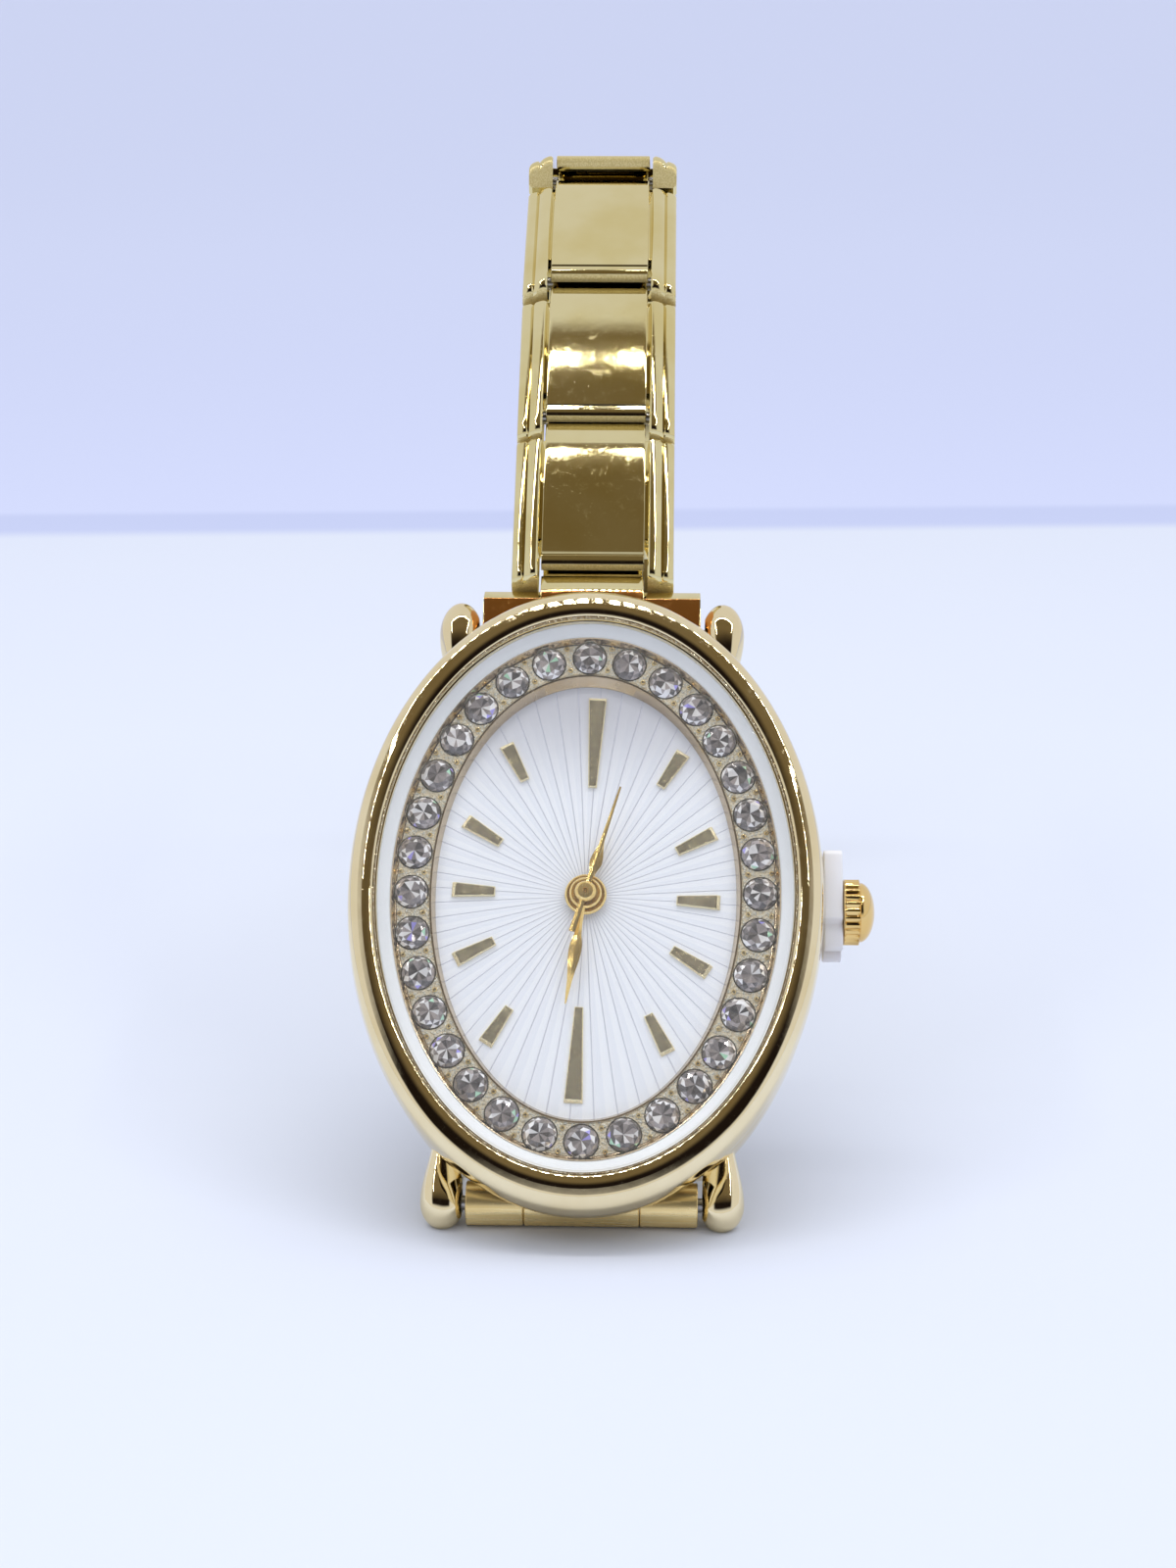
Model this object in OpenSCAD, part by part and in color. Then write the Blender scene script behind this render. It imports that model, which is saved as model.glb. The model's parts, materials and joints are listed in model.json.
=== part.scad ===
// Oval ladies' wristwatch on a stretch bracelet of hinged links, standing on a table.
// The wearer's side of every piece is its inner side, and local +Z is its outer side.

/* [Case] */
// Width of the middle case
case_w = 24.9; // [24.4:0.1:28]
// Length of the middle case along the bracelet
case_l = 33.8; // [33.2:0.1:37]
// Height of the middle case, from its back to the face under the dial
case_h = 4.5; // [4.4:0.1:6]
// Width of the cavity for the movement
cavity_w = 19.8; // [18.6:0.1:20.2]
// Length of the cavity for the movement
cavity_l = 24.8; // [23:0.1:25.2]
// Thickness of the case back
back_t = 0.8; // [0.5:0.1:1]
// Width of the case back
back_w = 17.6; // [15:0.1:18]
// Length of the case back
back_l = 22.8; // [20:0.1:23.2]

/* [Lugs] */
// Distance from the end of the middle case in to the spring bar
bar_set_in = 1.05; // [0.8:0.05:1.2]
// Height of the spring bars above the case back
bar_z = 2.2; // [2:0.1:2.6]
// Clear width between the lugs
lug_gap = 12.5; // [12.3:0.1:13]
// Radius of a lug's rounded end
lug_r = 1.15; // [0.9:0.05:1.3]

/* [Bezel and crystal] */
// Thickness of the crystal
glass_t = 0.9; // [0.6:0.1:1.2]
// Space for the hands between the dial and the crystal
hand_room = 1.25; // [1.2:0.05:2]
// Width of the bezel beside the dial
bezel_side = 1.55; // [1.2:0.05:2]
// Width of the bezel above and below the dial
bezel_end = 2; // [1.6:0.05:2.4]

/* [Dial] */
// Thickness of the dial
dial_t = 0.45; // [0.3:0.05:0.6]
// Width of the white sloped ring between the stones and the crystal's edge
white_ring_w = 0.825; // [0.6:0.025:1.1]
// Number of stones
stone_count = 32; // [20:1:32]
// Diameter of a stone
stone_d = 1.74; // [1.2:0.02:1.74]
// Width of the ring that holds the stones
stone_ring_w = 2.05; // [1.95:0.05:2.2]
// Height of the ring that holds the stones
stone_ring_h = 0.55; // [0.5:0.05:0.7]
// Length of the markers at 12 and 6
long_marker = 5.1; // [2:0.1:6]
// Length of the other ten markers
short_marker = 2.3; // [1:0.1:3]
// Clockwise turn of the dial in its case
dial_turn = 2.4; // [0:0.1:4]

/* [Hands] */
// Length of the hour hand
hour_hand_l = 3.6; // [2.5:0.1:4.5]
// Length of the minute hand
minute_hand_l = 6.1; // [4.8:0.1:7]
// Length of the seconds hand
seconds_hand_l = 5.9; // [4.8:0.1:7]
// Widest part of the leaf-shaped hands
hand_w = 0.62; // [0.4:0.02:0.8]
// Direction of the hour hand, clockwise from 12
hour_hand_angle = 16; // [0:1:359]
// Direction of the minute hand, clockwise from 12
minute_hand_angle = 189; // [0:1:359]
// Direction of the seconds hand, clockwise from 12
seconds_hand_angle = 17; // [0:1:359]

/* [Crown] */
// Diameter of the crown
crown_d = 3.45; // [3:0.05:4]
// Length of the fluted part of the crown
crown_l = 0.95; // [0.7:0.05:1.5]
// Number of flutes round the crown
flute_count = 28; // [16:1:32]
// How far the crown is pulled out of its rest in the case
crown_pull = 1.05; // [0.8:0.05:1.4]
// Thickness of the plastic spacer behind the crown
spacer_t = 0.9; // [0.6:0.05:0.92]

/* [Bracelet] */
// Distance between the joints of a link
pitch = 10; // [9.8:0.1:10.6]
// Width of a link
link_w = 9; // [8.6:0.1:9.6]
// Width of the cover plate of a link
plate_w = 5.7; // [5:0.1:5.8]
// Gap between a side rail and the parts inside it
rail_gap = 0.2; // [0.15:0.05:0.3]
// Height of a link above its joint, on the outer side
link_out = 1.62; // [1.6:0.02:1.8]
// Depth of a link below its joint, on the wearer's side
link_in = 1; // [0.95:0.05:1.1]
// Thickness of the cover plate
plate_t = 0.6; // [0.4:0.05:0.62]
// Radius of a link pin
pin_r = 0.38; // [0.3:0.01:0.4]
// Stretch of one joint
stretch = 1.2; // [0.6:0.1:1.25]
// Distance from a spring bar to the first joint of the bracelet
adapter_l = 4.4; // [4.3:0.1:5]
// Width of the two adapters between the lugs
adapter_w = 12; // [11.6:0.1:12.1]
// Radius of the rolled end that holds a spring bar
roll_r = 1.1; // [1.05:0.05:1.2]

/* [Rest pose] */
// Lean of the case back from upright
case_lean = 33.7; // [30:0.5:38]
// Bend between the case and the upper adapter
adapter_bend = 3; // [0:0.5:5]
// Bend before the first link
bend_1 = 7; // [2:0.5:12]
// Bend before the second link
bend_2 = 2; // [1:0.5:8]
// Bend before the third link
bend_3 = 12; // [8:0.5:16]
// Bend before the fourth link
bend_4 = 42; // [36:0.5:43]
// Share by which each later bend is smaller than the one before
bend_fall = 0.09; // [0:0.01:0.12]

/* [Hidden] */

gold = "goldenrod";
pale_gold = "wheat";
steel = "lightsteelblue";

// Clearances
run_clear = 0.03;
seat_clear = 0.05;

// Ovals are many-sided, and round turned parts are true circles
oval_sides = 64;
turned = 48;

// Heights above the case back
dial_top = case_h + dial_t;
glass_z = dial_top + hand_room;
stem_z = 2.4;

// Half widths (a) and half lengths (b) of the ovals, from the middle case inwards
case_a = case_w / 2;
case_b = case_l / 2;
bezel_lip_side = 0.05;
bezel_lip_end = 0.1;
bezel_in_a = case_a + bezel_lip_side - bezel_side;
bezel_in_b = case_b + bezel_lip_end - bezel_end;
glass_a = bezel_in_a - seat_clear;
glass_b = bezel_in_b - seat_clear;
ring_out_a = glass_a - white_ring_w - seat_clear;
ring_out_b = glass_b - white_ring_w - seat_clear;
stone_set_out = 0.2;
stone_a = ring_out_a - stone_ring_w / 2 + stone_set_out;
stone_b = ring_out_b - stone_ring_w / 2 + stone_set_out;
bar_half = case_b - bar_set_in;

// Shapes used by more than one piece

function oval(a, b) = [for (i = [0:oval_sides - 1]) let (t = 360 * i / oval_sides) [a * cos(t), b * sin(t)]];

module oval_slab(a, b, z0, z1) {
    translate([0, 0, z0]) linear_extrude(z1 - z0) polygon(oval(a, b));
}

function oval_rings(rings) = [for (r = rings) for (p = oval(r[0], r[1])) [p[0], p[1], r[2]]];

// Faces between ring j and ring k of an oval shape
function oval_band(j, k) = [for (i = [0:oval_sides - 1]) let (n = (i + 1) % oval_sides)
    each [[j * oval_sides + i, k * oval_sides + i, k * oval_sides + n],
          [j * oval_sides + i, k * oval_sides + n, j * oval_sides + n]]];

// A solid oval whose rings, each [half width, half length, height], run upwards
module oval_solid(rings) {
    last = len(rings) - 1;
    polyhedron(oval_rings(rings), concat(
        [[for (i = [0:oval_sides - 1]) i]],
        [for (j = [0:last - 1]) each oval_band(j, j + 1)],
        [[for (i = [oval_sides - 1:-1:0]) last * oval_sides + i]]));
}

// An oval ring whose section runs up its outer side and down its inner side
module oval_ring(rings) {
    m = len(rings);
    polyhedron(oval_rings(rings), [for (j = [0:m - 1]) each oval_band(j, (j + 1) % m)]);
}

// Extrudes an outline in the plane of Y and Z across the width of the watch
module across(x0, x1) {
    translate([x0, 0, 0]) rotate([90, 0, 90]) linear_extrude(x1 - x0) children();
}

module cross_pin(r, x0, x1, y = 0, z = 0, sides = turned) {
    translate([x0, y, z]) rotate([0, 90, 0]) cylinder(r = r, h = x1 - x0, $fn = sides);
}

function arc(cx, cy, r, a0, a1, steps = 5) = [for (i = [0:steps]) let (a = a0 + (a1 - a0) * i / steps)
    [cx + r * cos(a), cy + r * sin(a)]];

// Points spaced evenly along an oval, from 12 o'clock clockwise
oval_steps = 360;
function oval_walk(a, b) = [for (i = [0:oval_steps]) [a * sin(i), b * cos(i)]];
function running(pts, i = 0, sum = 0) = i == len(pts) - 1 ? [sum]
    : concat([sum], running(pts, i + 1, sum + norm(pts[i + 1] - pts[i])));
walk = oval_walk(stone_a, stone_b);
walked = running(walk);
function stone_place(k) = let (s = walked[oval_steps] * k / stone_count)
    [lookup(s, [for (i = [0:oval_steps]) [walked[i], walk[i][0]]]),
     lookup(s, [for (i = [0:oval_steps]) [walked[i], walk[i][1]]])];

// The bracelet has 14 links, and link 1 is the one beside 12 o'clock
link_count = 14;

// The loop of the bracelet in the rest pose, in the plane of Y and Z.
// A heading is the direction of a piece's local Y axis, measured from world Y towards world Z.

function dir(h) = [cos(h), sin(h)];
case_heading = 90 - case_lean;
lower_bar = [0, max(roll_r, lug_r)];
upper_bar = lower_bar + 2 * bar_half * dir(case_heading);
upper_heading = case_heading - adapter_bend;
front_headings = [upper_heading - bend_1, upper_heading - bend_1 - bend_2,
    upper_heading - bend_1 - bend_2 - bend_3, upper_heading - bend_1 - bend_2 - bend_3 - bend_4];
first_joint = upper_bar + adapter_l * dir(upper_heading);
arc_start = first_joint + pitch * (dir(front_headings[0]) + dir(front_headings[1])
    + dir(front_headings[2]) + dir(front_headings[3]));

// The last three links lie on the table, and the lower adapter drops from them to its spring bar
table_links = 3;
lower_drop = asin((link_out - lower_bar[1]) / adapter_l);
lower_heading = lower_drop - 180;
lower_joint = lower_bar - adapter_l * dir(lower_heading);
arc_end = lower_joint + [table_links * pitch, 0];

// The links between run round the back: their bends keep one proportion, and one factor closes the loop
arc_links = link_count - 4 - table_links;
function arc_turn(k) = k - bend_fall * k * (k - 1) / 2;
function arc_sum(bend, k = 0) = k == arc_links ? [0, 0] : dir(-bend * arc_turn(k)) + arc_sum(bend, k + 1);
function solve_bend(reach, low, high, tries = 30) = let (mid = (low + high) / 2)
    tries == 0 ? mid
    : norm(arc_sum(mid)) * pitch > reach ? solve_bend(reach, mid, high, tries - 1)
    : solve_bend(reach, low, mid, tries - 1);
arc_gap = arc_end - arc_start;
arc_bend = solve_bend(norm(arc_gap), 2, 45);
arc_sum_now = arc_sum(arc_bend);
arc_heading = atan2(arc_gap[1], arc_gap[0]) - atan2(arc_sum_now[1], arc_sum_now[0]);

function link_heading(k) = k <= 4 ? front_headings[k - 1]
    : k <= 4 + arc_links ? arc_heading - arc_bend * arc_turn(k - 5)
    : -180;
function joint_place(k) = k == 1 ? first_joint : joint_place(k - 1) + pitch * dir(link_heading(k - 1));

// The origin lies on the table under the middle of the last link but one
origin_link = link_count - 1;
origin_y = joint_place(origin_link)[0] - pitch / 2;

module in_case() {
    translate([0, lower_bar[0] - origin_y, lower_bar[1]]) rotate([case_heading, 0, 0])
        translate([0, bar_half, -bar_z]) children();
}

module at_joint(place, heading) {
    translate([0, place[0] - origin_y, place[1]]) rotate([heading, 0, 0]) children();
}

module at_link(k) {
    at_joint(joint_place(k), link_heading(k)) children();
}

// Case

edge_h = 1.5;
edge_in = 1.1;
notch_top = case_h - 0.6;
notch_y = bar_half - 1.65;
fold_angle = case_heading - lower_drop;
arm_in = 0.8;
fold_room = arm_in + 0.3;
fold_half_w = 5;
lug_x = lug_gap / 2 + lug_r - 0.15;
lug_neck_y = bar_half - 3.4;
lug_neck_r = 0.85;
bar_tip_r = 0.38;
lug_hole_depth = 1.1;
tube_hole_r = 0.55;

module lug() {
    // The lug is a drop turned about an axis along Y, narrowing into the case
    difference() {
        translate([lug_x, 0, bar_z]) rotate([-90, 0, 0]) rotate([0, 0, 90]) rotate_extrude($fn = turned)
            polygon(concat([[0, lug_neck_y], [lug_neck_r, lug_neck_y]], arc(0, bar_half, lug_r, -12, 75, 5),
                [[0, bar_half + 0.99 * lug_r]]));
        translate([0, 0, -case_h]) cube([lug_gap / 2, case_l, 3 * case_h]);
        cross_pin(bar_tip_r + run_clear, lug_gap / 2 - 1, lug_gap / 2 + lug_hole_depth, bar_half, bar_z);
    }
}

// Space for an adapter and its swing at one end of the case
module end_notch() {
    translate([-lug_gap / 2, notch_y, -1]) cube([lug_gap, case_l, notch_top + 1]);
    translate([0, bar_half, bar_z]) rotate([180 + fold_angle, 0, 0])
        translate([-fold_half_w, -1, -fold_room]) cube([2 * fold_half_w, case_l / 2, case_l / 2]);
}

module case_body() {
    color(pale_gold) in_case() difference() {
        union() {
            difference() {
                oval_solid([[case_a - edge_in, case_b - edge_in, 0],
                    [case_a - edge_in / 4, case_b - edge_in / 4, edge_h / 2],
                    [case_a, case_b, edge_h], [case_a, case_b, case_h - 0.2],
                    [case_a - 0.1, case_b - 0.1, case_h]]);
                for (s = [0, 1]) mirror([0, s, 0]) end_notch();
            }
            for (s = [0, 1], t = [0, 1]) mirror([s, 0, 0]) mirror([0, t, 0]) lug();
        }
        oval_slab(cavity_w / 2, cavity_l / 2, back_t + 0.2, case_h + 1);
        oval_slab(back_w / 2 + seat_clear, back_l / 2 + seat_clear, -1, back_t + 0.3);
        cross_pin(tube_hole_r, cavity_w / 2 - 2, case_a + 1, 0, stem_z);
    }
}

module case_back() {
    color(steel) in_case() union() {
        oval_slab(back_w / 2, back_l / 2, 0, back_t);
        oval_slab(back_w / 2 - 1, back_l / 2 - 1, back_t - 0.1, back_t + 0.15);
    }
}

gasket_w = 0.5;
module back_gasket() {
    // The gasket lies on the step of the case back, against the opening
    color("dimgray") in_case() difference() {
        oval_slab(back_w / 2 - run_clear, back_l / 2 - run_clear, back_t + run_clear, back_t + 0.17);
        oval_slab(back_w / 2 - gasket_w - run_clear, back_l / 2 - gasket_w - run_clear,
            back_t - 1, back_t + 1);
    }
}

bezel_h = glass_z + glass_t - 0.35 - case_h;
bezel_top = 0.3;
module bezel() {
    // A half-round band with a small step beside the crystal: [share of the width, height]
    color(pale_gold) in_case() oval_ring([for (p = [[0, 0], [0.93, 0], [0.98, 0.16 * bezel_h],
        [1, 0.36 * bezel_h], [0.97, 0.58 * bezel_h], [0.88, 0.8 * bezel_h], [0.74, 0.98 * bezel_h],
        [0.55, bezel_h + 0.75 * bezel_top], [0.38, bezel_h + bezel_top], [0.22, bezel_h + 0.75 * bezel_top],
        [0.14, bezel_h], [0, bezel_h]])
        [bezel_in_a + p[0] * bezel_side, bezel_in_b + p[0] * bezel_end, case_h + p[1]]]);
}

glass_edge = 0.2;
module crystal() {
    color("azure") in_case() oval_solid([[glass_a, glass_b, glass_z],
        [glass_a, glass_b, glass_z + glass_t - glass_edge],
        [glass_a - glass_edge, glass_b - glass_edge, glass_z + glass_t]]);
}

// Dial and its ring of stones

ring_in_a = ring_out_a - stone_ring_w;
ring_in_b = ring_out_b - stone_ring_w;
chapter_foot = 0.5;
chapter_top = 0.15;
module chapter_ring() {
    // A white slope from the ring of stones up to the crystal
    color("ivory") in_case() oval_ring([[ring_out_a + seat_clear, ring_out_b + seat_clear, dial_top],
        [glass_a, glass_b, dial_top], [glass_a, glass_b, glass_z],
        [glass_a - chapter_top, glass_b - chapter_top, glass_z],
        [ring_out_a + seat_clear, ring_out_b + seat_clear, dial_top + chapter_foot]]);
}

stone_r = stone_d / 2;
girdle_z = dial_top + stone_ring_h;
stone_crown = 0.3;
stone_point = stone_ring_h - 0.1;
module stone_ring() {
    color(gold) in_case() difference() {
        oval_slab(ring_out_a, ring_out_b, dial_top, dial_top + stone_ring_h);
        oval_slab(ring_in_a, ring_in_b, dial_top - 1, dial_top + stone_ring_h + 1);
        for (k = [0:stone_count - 1])
            translate([stone_place(k)[0], stone_place(k)[1], girdle_z - stone_point - run_clear])
            cylinder(r = stone_r + run_clear, h = stone_ring_h + 1, $fn = turned);
    }
}

module stones() {
    color("lightcyan") in_case() for (k = [0:stone_count - 1])
        translate([stone_place(k)[0], stone_place(k)[1], girdle_z]) rotate_extrude($fn = 24)
            polygon([[0, -stone_point], [stone_r, -0.06], [stone_r, 0.04],
                [0.55 * stone_r, stone_crown], [0, stone_crown]]);
}

center_hole_r = 0.95;
module dial() {
    color("whitesmoke") in_case() difference() {
        oval_slab(glass_a, glass_b, case_h, dial_top);
        translate([0, 0, case_h - 1]) cylinder(r = center_hole_r, h = 3, $fn = turned);
    }
}

marker_h = 0.2;
marker_set_in = 2.1;
marker_out_a = stone_a - marker_set_in;
marker_out_b = stone_b - marker_set_in;
module hour_markers() {
    color(gold) in_case() rotate([0, 0, -dial_turn]) for (h = [0:11]) {
        is_long = h % 6 == 0;
        long = is_long ? long_marker : short_marker;
        outer_w = is_long ? 0.98 : 0.8;
        inner_w = is_long ? 0.45 : 0.5;
        a = 30 * h;
        reach = marker_out_a * marker_out_b / norm([marker_out_a * cos(a), marker_out_b * sin(a)]);
        rotate([0, 0, -a]) translate([0, reach, dial_top]) linear_extrude(marker_h)
            polygon([[-outer_w / 2, 0], [outer_w / 2, 0], [inner_w / 2, -long], [-inner_w / 2, -long]]);
    }
}

// Hands: each has a hub and a leaf-shaped or needle-shaped blade

hour_pipe_r = 0.75;
minute_pipe_r = 0.45;
seconds_arbor_r = 0.16;
hand_t = 0.14;
hour_hand_z = dial_top + 0.35;
minute_hand_z = hour_hand_z + 0.3;
seconds_hand_z = minute_hand_z + 0.3;

module hand(angle, z, bore_r, hub_r) {
    in_case() translate([0, 0, z]) rotate([0, 0, -angle]) linear_extrude(hand_t) difference() {
        union() {
            circle(r = hub_r, $fn = turned);
            children();
        }
        circle(r = bore_r, $fn = turned);
    }
}

module leaf(long, hub_r) {
    polygon([[-0.12, hub_r - 0.1], [0.12, hub_r - 0.1], [0.14, 0.3 * long], [hand_w / 2, 0.5 * long],
        [0.4 * hand_w, 0.66 * long], [0.09, 0.9 * long], [0.05, long], [-0.05, long],
        [-0.09, 0.9 * long], [-0.4 * hand_w, 0.66 * long], [-hand_w / 2, 0.5 * long], [-0.14, 0.3 * long]]);
}

hour_hub_r = 1.1;
minute_hub_r = 0.85;
seconds_hub_r = 0.6;
seconds_tail = 2;
module hour_hand() {
    color(gold) hand(hour_hand_angle, hour_hand_z, hour_pipe_r + run_clear, hour_hub_r)
        leaf(hour_hand_l, hour_hub_r);
}

module minute_hand() {
    color(gold) hand(minute_hand_angle, minute_hand_z, minute_pipe_r + run_clear, minute_hub_r)
        leaf(minute_hand_l, minute_hub_r);
}

module seconds_hand() {
    color(gold) hand(seconds_hand_angle, seconds_hand_z, seconds_arbor_r + run_clear, seconds_hub_r)
        polygon([[-0.12, -seconds_tail], [0.12, -seconds_tail], [0.11, 0], [0.04, seconds_hand_l],
            [-0.04, seconds_hand_l], [-0.11, 0]]);
}

// Quartz movement under the dial

move_r = cavity_w / 2 - 1.2;
move_z0 = back_t + 0.3;
plate_z0 = 3;
plate_z1 = case_h - 0.6;
module movement_ring() {
    color("gainsboro") in_case() difference() {
        oval_slab(cavity_w / 2 - seat_clear, cavity_l / 2 - seat_clear, move_z0, case_h);
        translate([0, 0, -1]) cylinder(r = move_r + seat_clear, h = case_h + 2, $fn = 2 * turned);
        cross_pin(tube_hole_r, move_r - 1, cavity_w / 2 + 1, 0, stem_z);
    }
}

battery_r = 2.9;
battery_at = [-4.9, -2.7];
rotor_at = [-1.6, 2.75];
coil_at = [-5.4, 4.9];
coil_r = 0.72;
coil_l = 2.8;
core_l = 3.8;
core_w = 0.6;
board_at = [0.9, 1];
board_w = 4.9;
board_l = 4.6;
board_t = 0.25;
chip_at = [3.8, 3.3];
chip_w = 1.6;
chip_h = 0.42;
minute_wheel_at = [2.75, 0];
minute_post_r = 0.3;
rotor_post_r = 0.2;
seconds_wheel_r = 2.6;
center_wheel_r = 2.4;
minute_wheel_r = 2;
hour_wheel_r = 2.1;
wheel_t = 0.2;
motion_z = plate_z1 + 0.05;
foot_r = 0.45;
module main_plate() {
    // The plate has legs down to the case back and recesses for the wheels above it
    color("silver") in_case() difference() {
        union() {
            translate([0, 0, plate_z0]) cylinder(r = move_r, h = plate_z1 - plate_z0, $fn = 2 * turned);
            for (a = [75, 175, 285]) rotate([0, 0, a]) translate([move_r - 0.6, 0, move_z0])
                cylinder(r = foot_r, h = plate_z0 - move_z0 + 0.1, $fn = turned);
        }
        translate([0, 0, plate_z0 - 1]) cylinder(r = minute_pipe_r + run_clear, h = 3, $fn = turned);
        translate([minute_wheel_at[0], minute_wheel_at[1], plate_z0 + 0.3])
            cylinder(r = minute_post_r + run_clear, h = 3, $fn = turned);
        translate([rotor_at[0], rotor_at[1], plate_z0 - 1])
            cylinder(r = rotor_post_r + run_clear, h = 1.4, $fn = turned);
    }
}

module battery() {
    color("lightgray") in_case() translate([battery_at[0], battery_at[1], move_z0]) union() {
        cylinder(r = battery_r, h = 1.3, $fn = turned);
        translate([0, 0, 1.2]) cylinder(r = battery_r - 0.4, h = 0.4, $fn = turned);
    }
}

module circuit_board() {
    // The board carries the chip, and the coil is wound on its iron core beside it
    in_case() {
        color("darkgreen") difference() {
            translate([board_at[0], board_at[1], plate_z0 - board_t - 0.1]) cube([board_w, board_l, board_t]);
            translate([0, 0, plate_z0 - 1]) cylinder(r = seconds_wheel_r, h = 2, $fn = turned);
        }
        color("black") translate([chip_at[0], chip_at[1], plate_z0 - board_t - 0.08 - chip_h])
            cube([chip_w, chip_w, chip_h]);
        translate([coil_at[0], coil_at[1], plate_z0 - coil_r - 0.03]) rotate([0, 0, 45]) {
            color("dimgray") translate([-core_l / 2, -core_w / 2, -core_w / 2])
                cube([core_l, core_w, core_w]);
            color("peru") difference() {
                cross_pin(coil_r, -coil_l / 2, coil_l / 2);
                translate([-coil_l, -core_w / 2 - seat_clear, -core_w / 2 - seat_clear])
                    cube([2 * coil_l, core_w + 2 * seat_clear, core_w + 2 * seat_clear]);
            }
        }
    }
}

tooth_h = 0.12;
// A wheel with plain teeth, short enough to turn clear of its neighbours
module toothed(r, teeth, h, bore_r = 0) {
    linear_extrude(h) difference() {
        polygon([for (i = [0:teeth - 1], q = [0:3])
            let (t = 360 * (i + q / 4) / teeth, reach = q == 1 || q == 2 ? r : r - tooth_h)
            [reach * cos(t), reach * sin(t)]]);
        if (bore_r > 0) circle(r = bore_r, $fn = turned);
    }
}

module rotor() {
    color("slategray") in_case() translate([rotor_at[0], rotor_at[1], move_z0]) union() {
        cylinder(r = rotor_post_r, h = plate_z0 + 0.25 - move_z0, $fn = turned);
        translate([0, 0, 1.15]) cylinder(r = 0.75, h = 0.5, $fn = turned);
        translate([0, 0, 0.25]) toothed(0.45, 8, 0.4);
    }
}

module seconds_wheel() {
    color("gold") in_case() union() {
        translate([0, 0, move_z0])
            cylinder(r = seconds_arbor_r, h = seconds_hand_z + hand_t - move_z0, $fn = turned);
        translate([0, 0, move_z0 + 0.35]) toothed(seconds_wheel_r, 60, wheel_t);
    }
}

module center_wheel() {
    // The minute pipe turns on the seconds arbor, and drives the minute wheel above the plate
    color("gold") in_case() difference() {
        union() {
            translate([0, 0, move_z0 + 0.7])
                cylinder(r = minute_pipe_r, h = minute_hand_z + hand_t - move_z0 - 0.7, $fn = turned);
            translate([0, 0, move_z0 + 0.8]) toothed(center_wheel_r, 48, wheel_t);
            translate([0, 0, motion_z]) toothed(0.64, 10, 0.15);
        }
        translate([0, 0, move_z0]) cylinder(r = seconds_arbor_r + run_clear, h = 2 * case_h, $fn = turned);
    }
}

module minute_wheel() {
    // Its wheel is driven by the minute pipe, and its pinion drives the hour wheel
    color("gold") in_case() translate([minute_wheel_at[0], minute_wheel_at[1], motion_z]) union() {
        translate([0, 0, -0.5]) cylinder(r = minute_post_r, h = 0.55, $fn = turned);
        toothed(minute_wheel_r, 30, 0.15);
        translate([0, 0, 0.1]) toothed(0.52, 9, 0.4);
    }
}

module hour_wheel() {
    color("gold") in_case() difference() {
        union() {
            translate([0, 0, motion_z + 0.22])
                cylinder(r = hour_pipe_r, h = hour_hand_z + hand_t - motion_z - 0.22, $fn = turned);
            translate([0, 0, motion_z + 0.22]) toothed(hour_wheel_r, 36, wheel_t);
        }
        translate([0, 0, plate_z1 - 1]) cylinder(r = minute_pipe_r + run_clear, h = 2 * case_h, $fn = turned);
    }
}

// Crown, stem and the plastic spacer that holds the crown out

stem_r = 0.42;
stem_in = 3.65;
crown_x = case_a + crown_pull;
crown_bore = 0.55;
crown_dome = 0.62;
module stem() {
    color(steel) in_case() cross_pin(stem_r, stem_in, crown_x + crown_bore, 0, stem_z);
}

lever_x = 4.7;
module setting_lever() {
    // The lever moves with the stem when the crown is pulled or pushed, and the stem turns in it
    color("silver") in_case() difference() {
        union() {
            cross_pin(0.56, lever_x, lever_x + 0.3, 0, stem_z);
            translate([lever_x, 0, stem_z - 0.15]) cube([0.3, 2.4, 0.3]);
        }
        cross_pin(stem_r + run_clear, lever_x - 1, lever_x + 1, 0, stem_z);
    }
}

module crown() {
    r = crown_d / 2;
    color(gold) in_case() translate([crown_x, 0, stem_z]) rotate([0, 90, 0]) difference() {
        rotate_extrude($fn = turned) polygon(concat(
            [[0, 0], [r - 0.35, 0], [r - 0.05, 0.3], [r, 0.4], [r, crown_l], [r - 0.12, crown_l + 0.06]],
            [for (a = [20:14:90]) [(r - 0.12) * cos(a), crown_l + crown_dome * sin(a)]],
            [[0, crown_l + crown_dome]]));
        for (i = [0:flute_count - 1]) rotate([0, 0, 360 * i / flute_count]) translate([r + 0.03, 0, 0.32])
            cylinder(r = 0.13, h = crown_l - 0.4, $fn = 8);
        translate([0, 0, -1]) cylinder(r = stem_r + run_clear, h = 1 + crown_bore + run_clear, $fn = turned);
    }
}

spacer_x = case_a + run_clear;
spacer_slot = stem_r + 0.13;
spacer_low = 2.4;
spacer_l = 5;
spacer_h = 3;
grip_l = 2.1;
grip_h = 2.6;
module crown_spacer() {
    // A fork pushed over the stem, with a thicker grip at its upper end
    color("white") in_case() difference() {
        translate([spacer_x, -spacer_low, stem_z - spacer_h / 2]) union() {
            cube([spacer_t, spacer_l, spacer_h]);
            translate([0, spacer_l + 0.5 - grip_l, (spacer_h - grip_h) / 2]) cube([spacer_t, grip_l, grip_h]);
        }
        translate([spacer_x - 1, -spacer_low - 1, stem_z - spacer_slot])
            cube([spacer_t + 2, spacer_low + 1, 2 * spacer_slot]);
        cross_pin(spacer_slot, spacer_x - 1, spacer_x + spacer_t + 1, 0, stem_z);
    }
}

// Spring bars: a tube with a sprung pin at each end

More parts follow.
